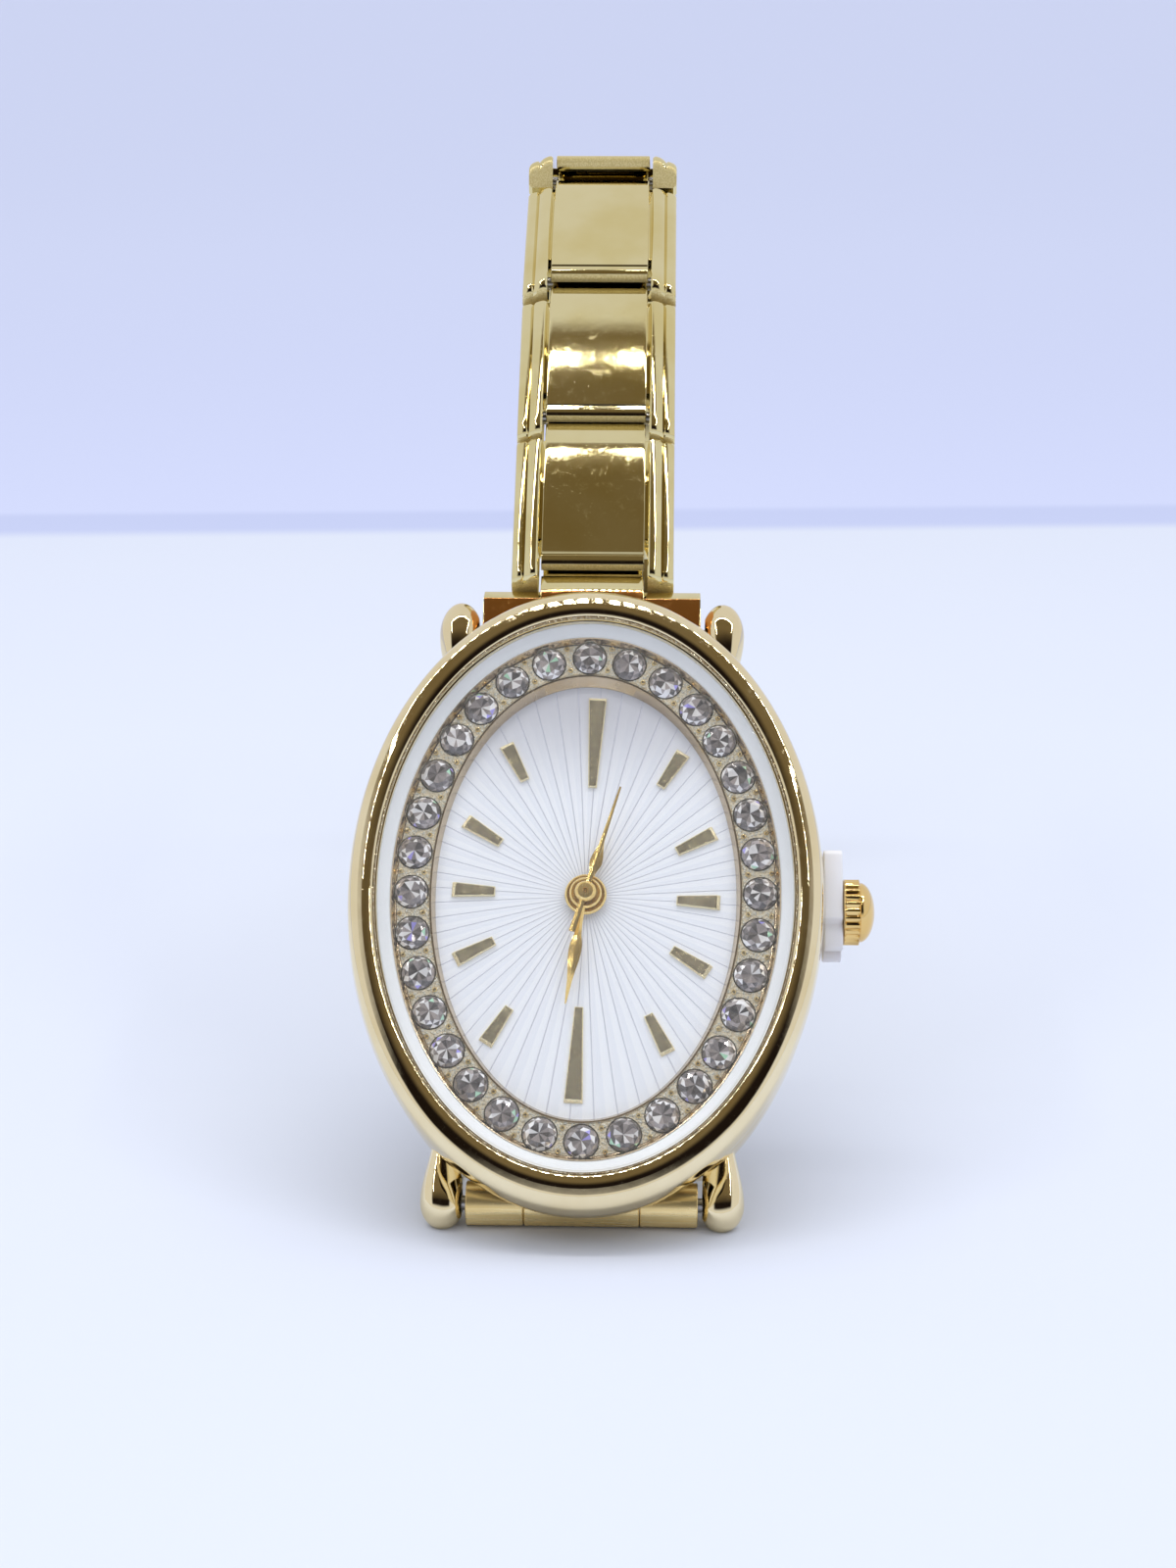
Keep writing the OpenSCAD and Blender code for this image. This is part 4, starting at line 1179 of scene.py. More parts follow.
@dataclass
class Bezel:
    """The rounded band round the crystal, with a beaded line and a small step on its inner side.

    Args:
        inner: Half width and half length of its inner edge.
        outer: The same of its outer edge.
        foot: Height of its underside.
        flank: Outer side below the round, as (share of the band's width, height).
        round_r: Radius of the rounded band.
        round_from: Distance from the inner edge, and height, where the round starts.
        slopes: Slopes of the round in degrees, from the flank to the crystal.
        facet: Width of the narrow flat near the crest.
        facet_at: Slope where that flat lies.
        beads: The beaded line, as (share inwards, drop) from the end of the round.
        step: The small step inside it, as (share of the band's width, drop).
    """

    inner: Pair = (10.95, 15.0)
    outer: Pair = (12.5, 16.95)
    foot: float = 4.5
    flank: Pairs = ((0.985, 4.5), (1.03, 4.7), (1.05, 5.05), (1.04, 5.4))
    round_r: float = 1.0
    round_from: Pair = (1.94, 5.88)
    slopes: tuple[float, ...] = (84, 78, 72, 66, 60, 54, 48, 42, 36, 30, 25, 21, 18, 16.2, 15.3, 14.7, 13.8,
                                 12, 9, 5, 0, -6, -12, -18, -23, -27)
    facet: float = 0.26
    facet_at: float = 15.3
    beads: Pairs = ((0.012, 0.07), (0.03, 0.02), (0.055, 0.02), (0.07, 0.08), (0.075, 0.3))
    step: Pairs = ((0.015, 0.3), (0.0, 0.36))

    def _ring(self, share: float, height: float) -> OvalRing:
        """A ring at a share of the band's width, counted from the crystal."""
        (a0, b0), (a1, b1) = self.inner, self.outer
        return (a0 + share * (a1 - a0), b0 + share * (b1 - b0), height)

    def add(self, stand: Stand, palette: Palette) -> None:
        """Puts the bezel in the scene.

        Args:
            stand: Where the pieces stand.
            palette: The finishes.
        """
        band_w = self.outer[1] - self.inner[1]
        rings = [self._ring(share, level) for share, level in self.flank]
        width, height = self.round_from
        rings.append(self._ring(width / band_w, height))
        for before, after in zip(self.slopes, self.slopes[1:]):
            flat = self.facet if before == self.facet_at else 0.0
            length = self.round_r * math.radians(before - after) + flat
            middle = math.radians((before + after) / 2)
            width -= length * math.cos(middle)
            height += length * math.sin(middle)
            rings.append(self._ring(width / band_w, height))
        bead_from, top = len(rings) - 1, rings[-1][2]
        bead_to = bead_from + len(self.beads) - 1
        edge = (rings[-1][1] - self.inner[1]) / band_w
        rings += [self._ring(edge - inset, top - drop) for inset, drop in self.beads]
        rings += [self._ring(share, top - drop) for share, drop in self.step]
        rings.append(self._ring(0.0, self.foot))
        shape = oval_turned(rings, 256, True, lambda index: int(bead_from <= index < bead_to))
        Piece("bezel_band", "case", ("bezel",), Slot.CASE_GOLD, stand.case,
              (palette.case_gold, palette.bead_line), 50.0).add(shape)


@dataclass
class Crystal:
    """The clear crystal: flat, with a bevelled edge.

    Args:
        bevel: The bevel, as (distance inwards, drop below the top).
    """

    half: Pair = (10.9, 14.95)
    bottom: float = 6.2
    top: float = 6.9
    bevel: Pairs = ((0.2, 0.0), (0.06, 0.06), (0.0, 0.2))

    def add(self, stand: Stand, palette: Palette) -> None:
        """Puts the crystal in the scene.

        Args:
            stand: Where the pieces stand.
            palette: The finishes.
        """
        a, b = self.half
        edge = [(a - inset, b - inset, self.top - drop) for inset, drop in self.bevel]
        rings = [(0.0, 0.0, self.top), *edge, (a, b, self.bottom), (0.0, 0.0, self.bottom)]
        Piece("crystal_plate", "case", ("crystal",), Slot.CRYSTAL, stand.case,
              (palette.crystal,), 20.0).add(oval_turned(rings, 192, False))


@dataclass
class ChapterRing:
    """The white ring between the stones and the crystal, a gentle slope above the stones.

    Args:
        foot: Half width and half length of its inner edge.
        outer: The same of its outer edge.
        step: Height of its inner edge.
        high: Height of its outer edge.
        curve: How hollow the slope is; 1 is straight.
    """

    foot: Pair = (10.27, 14.32)
    outer: Pair = (10.94, 14.99)
    low: float = 4.95
    step: float = 5.84
    high: float = 6.18
    curve: float = 1.2

    def add(self, stand: Stand, palette: Palette) -> None:
        """Puts the ring in the scene.

        Args:
            stand: Where the pieces stand.
            palette: The finishes.
        """
        (a0, b0), (a1, b1) = self.foot, self.outer
        rise = self.high - self.step
        slope = [(a0 + (a1 - a0) * t, b0 + (b1 - b0) * t, self.step + rise * t ** self.curve)
                 for t in (k / 6 for k in range(1, 7))]
        rings = [(a0, b0, self.low), (a0, b0, self.step - 0.05), (a0 + 0.04, b0 + 0.04, self.step), *slope,
                 (a1, b1, self.low)]
        Piece("white_ring", "case", ("chapter_ring",), Slot.WHITE_RING, stand.case,
              (palette.white_ring,), 25.0).add(oval_turned(rings, 192, True))


@dataclass
class StoneSetting:
    """The grained ring, its beads and the cut stones that it holds.

    Args:
        line: Half width and half length of the line of the stones.
        outer: The same of the ring's flat top, outer edge.
        inner: The same of its inner edge.
        girdle: Height of the flat top and of the stones' girdles.
        wall_top: Height of the outer wall.
        wall_w: Width of the outer wall.
        apron: How far the inner wall leans over the dial.
        apron_top: How much further it leans at 12 o'clock.
        crown: Height of a stone above its girdle.
        lid: Highest place of a stone, under the crystal.
        uneven: How far the corners of the facets are off.
        bead_off: Distance of a bead from the line of the stones.
        painted_tones: Darkest and brightest plain facet, as a painted tone for reflected light.
        painted_dark: Painted dark colour for the facets that reflect nothing.
        painted_dark_share: Share of such facets.
        painted_glints: Painted bright and coloured sparks on facets, each above its throw.
    """

    line: Pair = (9.2, 13.25)
    outer: Pair = (10.025, 14.075)
    inner: Pair = (7.975, 12.025)
    low: float = 4.95
    girdle: float = 5.5
    wall_top: float = 5.86
    wall_w: float = 0.24
    apron: float = 0.03
    apron_top: float = 0.22
    count: int = 32
    stone_r: float = 0.87
    seat_r: float = 0.94
    crown: float = 0.3
    point: float = 0.42
    lid: float = 0.36
    uneven: float = 0.035
    bead_r: float = 0.15
    bead_off: float = 0.62
    seed: int = 7
    painted_tones: Pair = (0.08, 0.48)
    painted_dark: Colour = (0.09, 0.08, 0.075)
    painted_dark_share: float = 0.16
    painted_glints: tuple[tuple[float, Colour], ...] = ((0.77, (0.5, 0.85, 0.6)), (0.785, (0.45, 0.40, 0.98)),
                                                (0.8, (1.0, 0.98, 0.97)))

    def _walk(self, count: int, offset: float) -> list[tuple[float, float, float, float]]:
        """Evenly spaced points on the stones' line, clockwise from 12, with the outward direction.

        Args:
            count: Number of points.
            offset: Share of a step before the first.

        Returns:
            Place (x, y) and outward direction (x, y) of each point.
        """
        a, b = self.line
        fine = [(a * math.sin(math.radians(t / 4)), b * math.cos(math.radians(t / 4))) for t in range(1441)]
        run = [0.0]
        for p, q in zip(fine, fine[1:]):
            run.append(run[-1] + math.dist(p, q))
        found, index = [], 0
        for number in range(count):
            goal = run[-1] * (number + offset) / count
            while run[index + 1] < goal:
                index += 1
            x, y = fine[index]
            size = math.hypot(x / a ** 2, y / b ** 2)
            found.append((x, y, x / a ** 2 / size, y / b ** 2 / size))
        return found

    def _ring(self) -> Shape:
        """The ring with a cup for each stone.

        Returns:
            The shape.
        """
        (a0, b0), (a1, b1) = self.inner, self.outer
        rim, top, wall = self.wall_top, self.girdle, self.wall_w
        outside = [(wall, self.low), (wall, rim), (wall - 0.06, rim - 0.03), (0.02, top + 0.03), (-0.06, top),
                   (-0.3, top)]
        inside = [(0.36, top), (0.31, top - 0.05), (0.26, top + 0.03), (0.16, top + 0.02),
                  (-self.apron, self.low + 0.06), (-self.apron, self.low)]
        rings = [(a1 + off, b1 + off, level) for off, level in outside]
        rings += [(a0 + off, b0 + off, level) for off, level in inside]
        # The walls take the darker gold, which is painted shade.
        ring = oval_turned(rings, 256, True, lambda index: 2 if index >= 8 or index in (1, 2, 3) else 0)
        for vert in ring.verts:
            on_inside = math.hypot(vert.co.x / a0, vert.co.y / b0) < 1.01
            if vert.co.z < self.low + 0.1 and vert.co.y > 0 and on_inside:
                vert.co.y -= self.apron_top * (vert.co.y / b0) ** 3
        cup = [(0, 0.12), (self.seat_r, 0.12), (self.seat_r, 2.0), (0, 2.0)]
        cups = [moved(turned(cup, 32), Matrix.Translation((x, y, self.low)))
                for x, y, _, _ in self._walk(self.count, 0)]
        return carved(ring, joined(cups))

    def _beads(self) -> Shape:
        """Pairs of small beads between the stones.

        Returns:
            The shape.
        """
        beads = []
        for x, y, out_x, out_y in self._walk(self.count, 0.5):
            for side in (1, -1):
                bead = bmesh.new()
                bmesh.ops.create_uvsphere(bead, u_segments=8, v_segments=5, radius=self.bead_r)
                for face in bead.faces:
                    face.material_index = 1
                off = side * self.bead_off
                spot = (x + off * out_x, y + off * out_y, self.girdle + 0.01)
                beads.append(moved(bead, Matrix.Translation(spot)))
        return joined(beads)

    def _stone(self, dice: random.Random) -> Shape:
        """One brilliant: a point below, a girdle, two rows of facets and a table.

        Args:
            dice: Source of the small differences.

        Returns:
            The shape.
        """
        stone = bmesh.new()
        rows = []
        half = math.pi / 12
        for radius, height, turn in ((1.0, -0.06, 0.0), (1.0, 0.03, 0.0), (0.84, 0.6 * self.crown, half),
                                     (0.6, self.crown, 0.0)):
            matrix = Matrix.Translation((0, 0, height)) @ Matrix.Rotation(turn, 4, "Z")
            made = bmesh.ops.create_circle(stone, segments=12 if radius < 1 else 24,
                                           radius=radius * self.stone_r, matrix=matrix)
            rows.append(list({edge for vert in made["verts"] for edge in vert.link_edges}))
        for low, high in zip(rows, rows[1:]):
            bmesh.ops.bridge_loops(stone, edges=low + high)
        table = bmesh.ops.holes_fill(stone, edges=rows[-1], sides=0)["faces"]
        bmesh.ops.poke(stone, faces=table, offset=-0.05)
        keel = bmesh.ops.holes_fill(stone, edges=rows[0], sides=0)["faces"]
        bmesh.ops.poke(stone, faces=keel, offset=self.point)
        bmesh.ops.triangulate(stone, faces=[face for face in stone.faces if len(face.verts) > 3])
        for vert in stone.verts:
            if vert.co.z > 0.1:
                vert.co += Vector([dice.uniform(-self.uneven, self.uneven) for _ in range(3)])
        bmesh.ops.rotate(stone, verts=stone.verts[:], cent=(0, 0, 0),
                         matrix=Matrix.Rotation(dice.uniform(0, half), 3, "Z"))
        lowest = min(vert.co.z for vert in stone.verts)
        for vert in stone.verts:
            if vert.co.z > self.lid or vert.co.z == lowest:
                vert.co.z = min(vert.co.z, self.lid)
        return outward(stone)

    def _tint(self, mesh: bpy.types.Mesh) -> None:
        """Paints each facet a tone that stands in for the light it reflects, with a few painted coloured
        sparks.

        Args:
            mesh: The finished mesh of the stones.
        """
        dice = random.Random(self.seed)
        layer = mesh.attributes.new("painted_facet_light", "FLOAT_COLOR", "CORNER")
        for face in mesh.polygons:
            throw = dice.random()
            tone = dice.uniform(*self.painted_tones)
            # Painted light: each facet's tone, the dark facets and the sparks stand in for reflections.
            colour = (tone, tone * 0.88, tone * 0.84)
            if throw < self.painted_dark_share:
                colour = self.painted_dark
            for above, glint in self.painted_glints:
                if throw > above:
                    colour = glint
            for corner in face.loop_indices:
                layer.data[corner].color = (*colour, 1.0)

    def add(self, stand: Stand, palette: Palette) -> None:
        """Puts the ring and the stones in the scene.

        Args:
            stand: Where the pieces stand.
            palette: The finishes.
        """
        Piece("stone_setting", "case", ("stone_ring",), Slot.STONE_GOLD, stand.case,
              (palette.stone_gold, palette.bead_gold, palette.wall_gold_painted_shade),
              35.0).add(joined([self._ring(), self._beads()]))
        dice = random.Random(self.seed)
        stones = [moved(self._stone(dice), Matrix.Translation((x, y, self.girdle)))
                  for x, y, _, _ in self._walk(self.count, 0)]
        Piece("cut_stones", "case", ("stones",), Slot.STONES, stand.case,
              (palette.stones,), None).add(joined(stones), self._tint)


@dataclass
class Dial:
    """The oval dial with its pressed rays.

    Args:
        middle: Half width and half length of a ring of points between edge and hole.
    """

    half: Pair = (10.9, 14.95)
    low: float = 4.5
    top: float = 4.95
    hole: float = 0.95
    middle: Pair = (4.0, 5.0)

    def add(self, stand: Stand, palette: Palette) -> None:
        """Puts the dial in the scene.

        Args:
            stand: Where the pieces stand.
            palette: The finishes.
        """
        a, b = self.half
        rings = [(a, b, self.low), (a, b, self.top - 0.05), (a - 0.05, b - 0.05, self.top),
                 (*self.middle, self.top), (self.hole, self.hole, self.top), (self.hole, self.hole, self.low)]
        Piece("rayed_dial", "case", ("dial",), Slot.DIAL, stand.case,
              (palette.dial,), 30.0).add(oval_turned(rings, 192, True))


@dataclass
class HourMarkers:
    """Twelve tapered applied markers.

    Args:
        oval: Half width and half length of the line of their outer ends.
        turn: Turn of the whole set, in degrees.
        long: Length, outer width and inner width at 12 and 6 o'clock.
        short: The same at the other hours.
        end_bevel: Width of the bevel on the outer end.
        rim_bevel: Width of the bevel on the other edges.
    """

    oval: Pair = (7.1, 11.15)
    base: float = 4.95
    height: float = 0.2
    turn: float = 2.4
    long: Triple = (5.1, 0.98, 0.45)
    short: Triple = (2.3, 0.8, 0.5)
    end_bevel: float = 0.13
    rim_bevel: float = 0.085

    def _marker(self, size: Triple) -> Shape:
        """One marker along Y, its outer end at zero with a wider bevel.

        Args:
            size: Length, outer width and inner width.

        Returns:
            The shape.
        """
        length, outer_w, inner_w = size
        marker = block((-0.5, -length, 0), (0.5, 0, self.height))
        for vert in marker.verts:
            vert.co.x *= outer_w if vert.co.y > -0.1 else inner_w
        end = [edge for edge in marker.edges
               if all(vert.co.y > -0.1 and vert.co.z > self.height / 2 for vert in edge.verts)]
        bmesh.ops.bevel(marker, geom=end, offset=self.end_bevel, affect="EDGES", segments=1, profile=0.5,
                        material=-1)
        rims = [edge for edge in marker.edges if all(vert.co.z > self.height / 3 for vert in edge.verts)
                and edge.calc_face_angle(0) > 0.4]
        bmesh.ops.bevel(marker, geom=rims, offset=self.rim_bevel, affect="EDGES", segments=1, profile=0.5,
                        material=-1, clamp_overlap=True)
        marker.normal_update()
        for face in marker.faces:
            face.material_index = int(face.normal.z > 0.98)
        return marker

    def add(self, stand: Stand, palette: Palette) -> None:
        """Puts the markers in the scene.

        Args:
            stand: Where the pieces stand.
            palette: The finishes.
        """
        a, b = self.oval
        shapes = []
        for hour in range(12):
            angle = math.radians(30 * hour)
            reach = a * b / math.hypot(a * math.cos(angle), b * math.sin(angle))
            marker = self._marker(self.long if hour % 6 == 0 else self.short)
            turn = Matrix.Rotation(-angle - math.radians(self.turn), 4, "Z")
            shapes.append(moved(marker, turn @ Matrix.Translation((0, reach, self.base))))
        Piece("markers", "case", ("hour_markers",), Slot.HAND_GOLD, stand.case,
              (palette.marker_gold, palette.marker_top), 20.0).add(joined(shapes))


@dataclass
class Hand:
    """A watch hand: a turned hub with a blade that has a ridge along its middle.

    Args:
        name: Name of the piece.
        body: The body that it rides on.
        node: The CAD node that it stands for.
        angle: Direction clockwise from 12, in degrees.
        height: Height of its underside.
        bore: Radius of its hole, or zero.
        hub: Section of the hub, as (radius, height) from the outer foot inwards.
        blade: Half widths along the blade, as (distance, half width).
        thickness: Thickness of the sheet.
        ridge: Height of the ridge along the middle.
    """

    name: str
    body: str
    node: str
    angle: float
    height: float
    bore: float
    hub: Pairs
    blade: Pairs
    thickness: float = 0.14
    ridge: float = 0.07

    def _blade(self) -> Shape:
        """Two facets that meet in a ridge, closed below.

        Returns:
            The shape.
        """
        blade = bmesh.new()
        rows = len(self.blade)
        bmesh.ops.create_grid(blade, x_segments=2, y_segments=rows - 1, size=1.0)
        for vert in blade.verts:
            distance, half = self.blade[round((vert.co.y + 1) / 2 * (rows - 1))]
            rise = self.ridge if abs(vert.co.x) < 0.1 and half > 0.06 else 0
            vert.co = (vert.co.x * half, distance, self.thickness * 0.55 + rise)
        made = bmesh.ops.extrude_face_region(blade, geom=blade.faces[:])
        for vert in (item for item in made["geom"] if isinstance(item, bmesh.types.BMVert)):
            vert.co.z = 0.0
        return outward(blade)

    def add(self, stand: Stand, palette: Palette) -> None:
        """Puts the hand in the scene.

        Args:
            stand: Where the pieces stand.
            palette: The finishes.
        """
        section = [*self.hub, (self.bore, self.hub[-1][1]), (self.bore, 0.0), self.hub[0]]
        hub = turned(section, 64)
        bmesh.ops.remove_doubles(hub, verts=hub.verts[:], dist=1e-4)
        shape = moved(joined([outward(hub), self._blade()]), Matrix.Translation((0, 0, self.height))
                      @ Matrix.Rotation(-math.radians(self.angle), 4, "Z"))
        Piece(self.name, self.body, (self.node,), Slot.HAND_GOLD, stand.case,
              (palette.hand_gold,), 12.0).add(shape)


def leaf_blade(length: float, start: float, half: float) -> Pairs:
    """Half widths of a leaf-shaped blade: slim at the hub, widest past its middle, with a fine tip.

    Args:
        length: Length of the hand.
        start: Where the blade leaves the hub.
        half: Largest half width.

    Returns:
        Pairs of distance and half width.
    """
    shares = ((0.0, 0.12), (0.3, 0.14), (0.38, 0.2), (0.46, half * 0.93), (0.52, half), (0.6, half * 0.9),
              (0.7, half * 0.62), (0.8, half * 0.38), (0.9, 0.09), (1.0, 0.03))
    return tuple((max(start, share * length) if share else start, width) for share, width in shares)


@dataclass
class HandSet:
    """The three hands in the positions of the photograph.

    Args:
        half_w: Half width of the leaves.
        directions: Directions of the hour, minute and seconds hand, in degrees from 12.
        heights: Heights of the three hands.
        bores: Radii of their holes.
    """

    hour_l: float = 3.6
    minute_l: float = 6.1
    seconds_l: float = 6.05
    seconds_tail: float = 2.3
    half_w: float = 0.34
    directions: Triple = (16, 189, 17)
    heights: Triple = (5.3, 5.6, 5.9)
    bores: Triple = (0.78, 0.48, 0.0)

    def add(self, stand: Stand, palette: Palette) -> None:
        """Builds the hands from the dial upwards.

        Args:
            stand: Where the pieces stand.
            palette: The finishes.
        """
        hour_hub = ((1.1, 0.0), (1.1, 0.06), (1.05, 0.14), (1.0, 0.17), (0.94, 0.14), (0.88, 0.07),
                    (0.82, 0.07))
        minute_hub = ((0.85, 0.0), (0.85, 0.06), (0.8, 0.14), (0.75, 0.17), (0.69, 0.14), (0.64, 0.07),
                      (0.6, 0.07))
        cap = ((0.56, 0.0), (0.56, 0.06), (0.5, 0.15), (0.4, 0.21), (0.26, 0.23), (0.15, 0.23),
               (0.12, 0.14), (0.07, 0.14), (0.04, 0.2), (0.0, 0.2))
        tail = self.seconds_tail
        needle = ((-tail, 0.16), (-tail + 0.04, 0.17), (-0.3, 0.14), (0.3, 0.15),
                  (self.seconds_l * 0.6, 0.10), (self.seconds_l, 0.05))
        places = list(zip(self.directions, self.heights, self.bores))
        Hand("hour_blade", "hours", "hour_hand", *places[0], hour_hub,
             leaf_blade(self.hour_l, 1.0, self.half_w)).add(stand, palette)
        Hand("minute_blade", "minutes", "minute_hand", *places[1], minute_hub,
             leaf_blade(self.minute_l, 0.75, self.half_w)).add(stand, palette)
        Hand("seconds_needle", "seconds", "seconds_hand", *places[2], cap, needle,
             ridge=0.04).add(stand, palette)


@dataclass
class Crown:
    """The fluted crown with its dome, and the milky spacer that holds it out.

    Args:
        start_x: Where the crown starts along its axis.
        fluted: Length of the fluted band.
        dome: Height of the dome.
        bore_l: Depth of the hole for the stem.
        spacer_x: Near and far side of the spacer along the axis.
        spacer_half: Half the spacer's height.
        stem_room: Half the gap between its prongs.
    """

    start_x: float = 13.66
    axis_z: float = 2.4
    radius: float = 1.76
    fluted: float = 0.86
    dome: float = 0.86
    flutes: int = 26
    flute_depth: float = 0.11
    bore: float = 0.45
    bore_l: float = 0.58
    spacer_x: Pair = (12.62, 13.63)
    spacer_half: float = 1.5
    stem_room: float = 0.56

    def _crown(self) -> Shape:
        """The crown turned about X, its flutes pressed into the band.

        Returns:
            The shape.
        """
        r, end = self.radius, self.fluted
        foot_r, foot_x = r - 0.16, end + 0.05
        section = [(0.0, self.bore_l), (self.bore, self.bore_l), (self.bore, 0.0), (r - 0.35, 0.0),
                   (r - 0.06, 0.03), (r, 0.08), (r, 0.14), (r, end - 0.08), (r, end), (r - 0.1, foot_x),
                   (foot_r, foot_x)]
        section += [(foot_r * math.cos(t), foot_x + (self.dome - 0.05) * math.sin(t))
                    for t in (math.radians(degrees) for degrees in range(9, 91, 9))]
        crown = turned(section, self.flutes * 8, Axis.X)
        for vert in crown.verts:
            reach = math.hypot(vert.co.y, vert.co.z)
            if reach > r - 0.04 and 0.12 < vert.co.x < end - 0.02:
                wave = 0.5 - 0.5 * math.cos(self.flutes * math.atan2(vert.co.z, vert.co.y))
                share = 1 - self.flute_depth * (1 - wave ** 0.7) / r
                vert.co.y *= share
                vert.co.z *= share
        return moved(crown, Matrix.Translation((self.start_x, 0, self.axis_z)))

    def _spacer(self) -> Shape:
        """A thick grip above the stem and two prongs that reach past it.

        Returns:
            The shape.
        """
        room, steps = self.stem_room, 8
        low, high = self.axis_z - self.spacer_half, self.axis_z + self.spacer_half
        outline = [(-2.4, low + 0.1), (-2.2, low), (2.9, low), (3.1, low + 0.25), (3.1, high - 0.3),
                   (2.85, high), (-0.75, high), (-0.95, high - 0.42), (-2.1, high - 0.5),
                   (-2.4, high - 0.75), (-1.9, self.axis_z + room), (0.0, self.axis_z + room)]
        outline += [(room * math.sin(math.pi * k / steps), self.axis_z + room * math.cos(math.pi * k / steps))
                    for k in range(1, steps)]
        outline += [(0.0, self.axis_z - room), (-2.1, self.axis_z - room), (-2.4, self.axis_z - 0.8)]
        return softened(pressed(outline, *self.spacer_x), 0.09, 3, 40)

    def add(self, stand: Stand, palette: Palette) -> None:
        """Puts the crown and the spacer in the scene.

        Args:
            stand: Where the pieces stand.
            palette: The finishes.
        """
        Piece("fluted_crown", "crown", ("crown",), Slot.CASE_GOLD, stand.case,
              (palette.crown_gold,), 40.0).add(self._crown())
        Piece("stem_spacer", "crown_spacer", ("crown_spacer",), Slot.SPACER, stand.case,
              (palette.spacer,), 45.0).add(self._spacer())


@dataclass
class Adapters:
    """The two pieces that join the bracelet to the spring bars.

    Args:
        length: Distance from the spring bar to the next pin.
        half_w: Half the width between the lugs.
        roll_r: Radius of the upper adapter round its bar.
        lower_roll_r: The same of the lower one.
        bar_top: Where the upper crossbar ends.
        bore: Radius of the holes for the bars.
        rail_in: Inner side of the arms.
        rail_low: How far the arms reach past the pin.
        seam_x: Distance of the seams in the roll from the middle.
        seam_half: Half the width of a seam.
    """

    length: float = 4.4
    half_w: float = 6.0
    roll_r: float = 1.1
    lower_roll_r: float = 1.15
    bar_top: float = 2.45
    bore: float = 0.78
    tongue_half: float = 2.75
    tongue_r: float = 0.75
    plate_half: float = 2.85
    rail_in: float = 3.05
    rail_out: float = 4.5
    rail_low: float = 2.08
    seam_x: float = 3.0
    seam_half: float = 0.02

    def _tube(self, x0: float, x1: float, radius: float) -> Shape:
        """A length of rolled sheet round the spring bar.

        Args:
            x0: Where it starts.
            x1: Where it ends.
            radius: Its radius.

        Returns:
            The shape.
        """
        section = [(self.bore, x0), (radius - 0.05, x0), (radius, x0 + 0.05), (radius, x1 - 0.05),
                   (radius - 0.05, x1), (self.bore, x1), (self.bore, x0)]
        return turned(section, 48, Axis.X)

    @staticmethod
    def _painted_shade_faces(shape: Shape) -> Shape:
        """Marks the flat faces that look outwards, which get a deeper orange-brown: painted shade on the same
        plating.

        Args:
            shape: The shape, changed in place.

        Returns:
            The same shape.
        """
        for face in shape.faces:
            if face.normal.z > 0.97 or abs(face.normal.x) > 0.97:
                face.material_index = 1
        return shape

    def upper(self) -> Shape:
        """A crossbar over the spring bar, with a tongue and a stepped plate.

        Returns:
            The shape.
        """
        r, steps = self.roll_r, 8
        bar = [(-r * math.cos(math.pi / 2 * k / steps), -r * math.sin(math.pi / 2 * k / steps))
               for k in range(steps + 1)]
        bar += [(self.bar_top, -r), (self.bar_top, 0.5), (self.bar_top - 0.7, 1.2), (-0.5, 1.2), (-r, 0.5)]
        crossbar = softened(pressed(bar, -self.half_w, self.half_w), 0.06, 2, 25)
        reach = self.half_w + 1
        hole = turned([(0, -reach), (self.bore, -reach), (self.bore, reach), (0, reach)], 48, Axis.X)
        crossbar = self._painted_shade_faces(carved(crossbar, hole))
        step = [(1.1, 0.0), (3.05, 0.0), (3.3, 0.75), (3.2, 0.95), (2.85, 1.15), (2.1, 1.42), (1.1, 1.46)]
        plate = self._painted_shade_faces(softened(pressed(step, -self.plate_half, self.plate_half), 0.05, 2, 25))
        return joined([crossbar, plate, rolled_tongue(1.2, self.length, self.tongue_r, self.tongue_half)])

    def lower(self) -> Shape:
        """A roll in three lengths with fine seams, and two arms round the last link's tongue.

        Returns:
            The shape.
        """
        at_bar = Matrix.Translation((0, self.length, 0))
        near, far = self.seam_x - self.seam_half, self.seam_x + self.seam_half
        rolls = [moved(self._tube(start, stop, self.lower_roll_r), at_bar)
                 for start, stop in ((-self.half_w, -far), (-near, near), (far, self.half_w))]
        end = self.length - 0.85
        arm = [(-self.rail_low, -0.4), (-self.rail_low + 0.4, -0.8), (end, -0.8), (end, 1.0),
               (-self.rail_low + 0.4, 1.0), (-self.rail_low, 0.6)]
        arms = mirrored_pair(lambda: softened(pressed(arm, self.rail_in, self.rail_out), 0.08, 2, 25))
        web = softened(pressed([(1.3, -0.5), (end, -0.5), (end, 0.8), (1.3, 0.8)], -3.1, 3.1), 0.06, 2, 25)
        for shape in (arms, web):
            for face in shape.faces:
                face.material_index = 1
        return joined([*rolls, arms, web])

    def add(self, stand: Stand, palette: Palette) -> None:
        """Puts both adapters in the scene.

        Args:
            stand: Where the pieces stand.
            palette: The finishes.
        """
        Piece("upper_connector", "upper_adapter", ("upper_adapter",), Slot.LINK_GOLD, stand.upper,
              (palette.link_gold, palette.front_gold_painted_shade), 25.0).add(self.upper())
        Piece("lower_connector", "lower_adapter", ("lower_adapter",), Slot.LINK_GOLD, stand.lower,
              (palette.roll_gold, palette.link_gold), 25.0).add(self.lower())


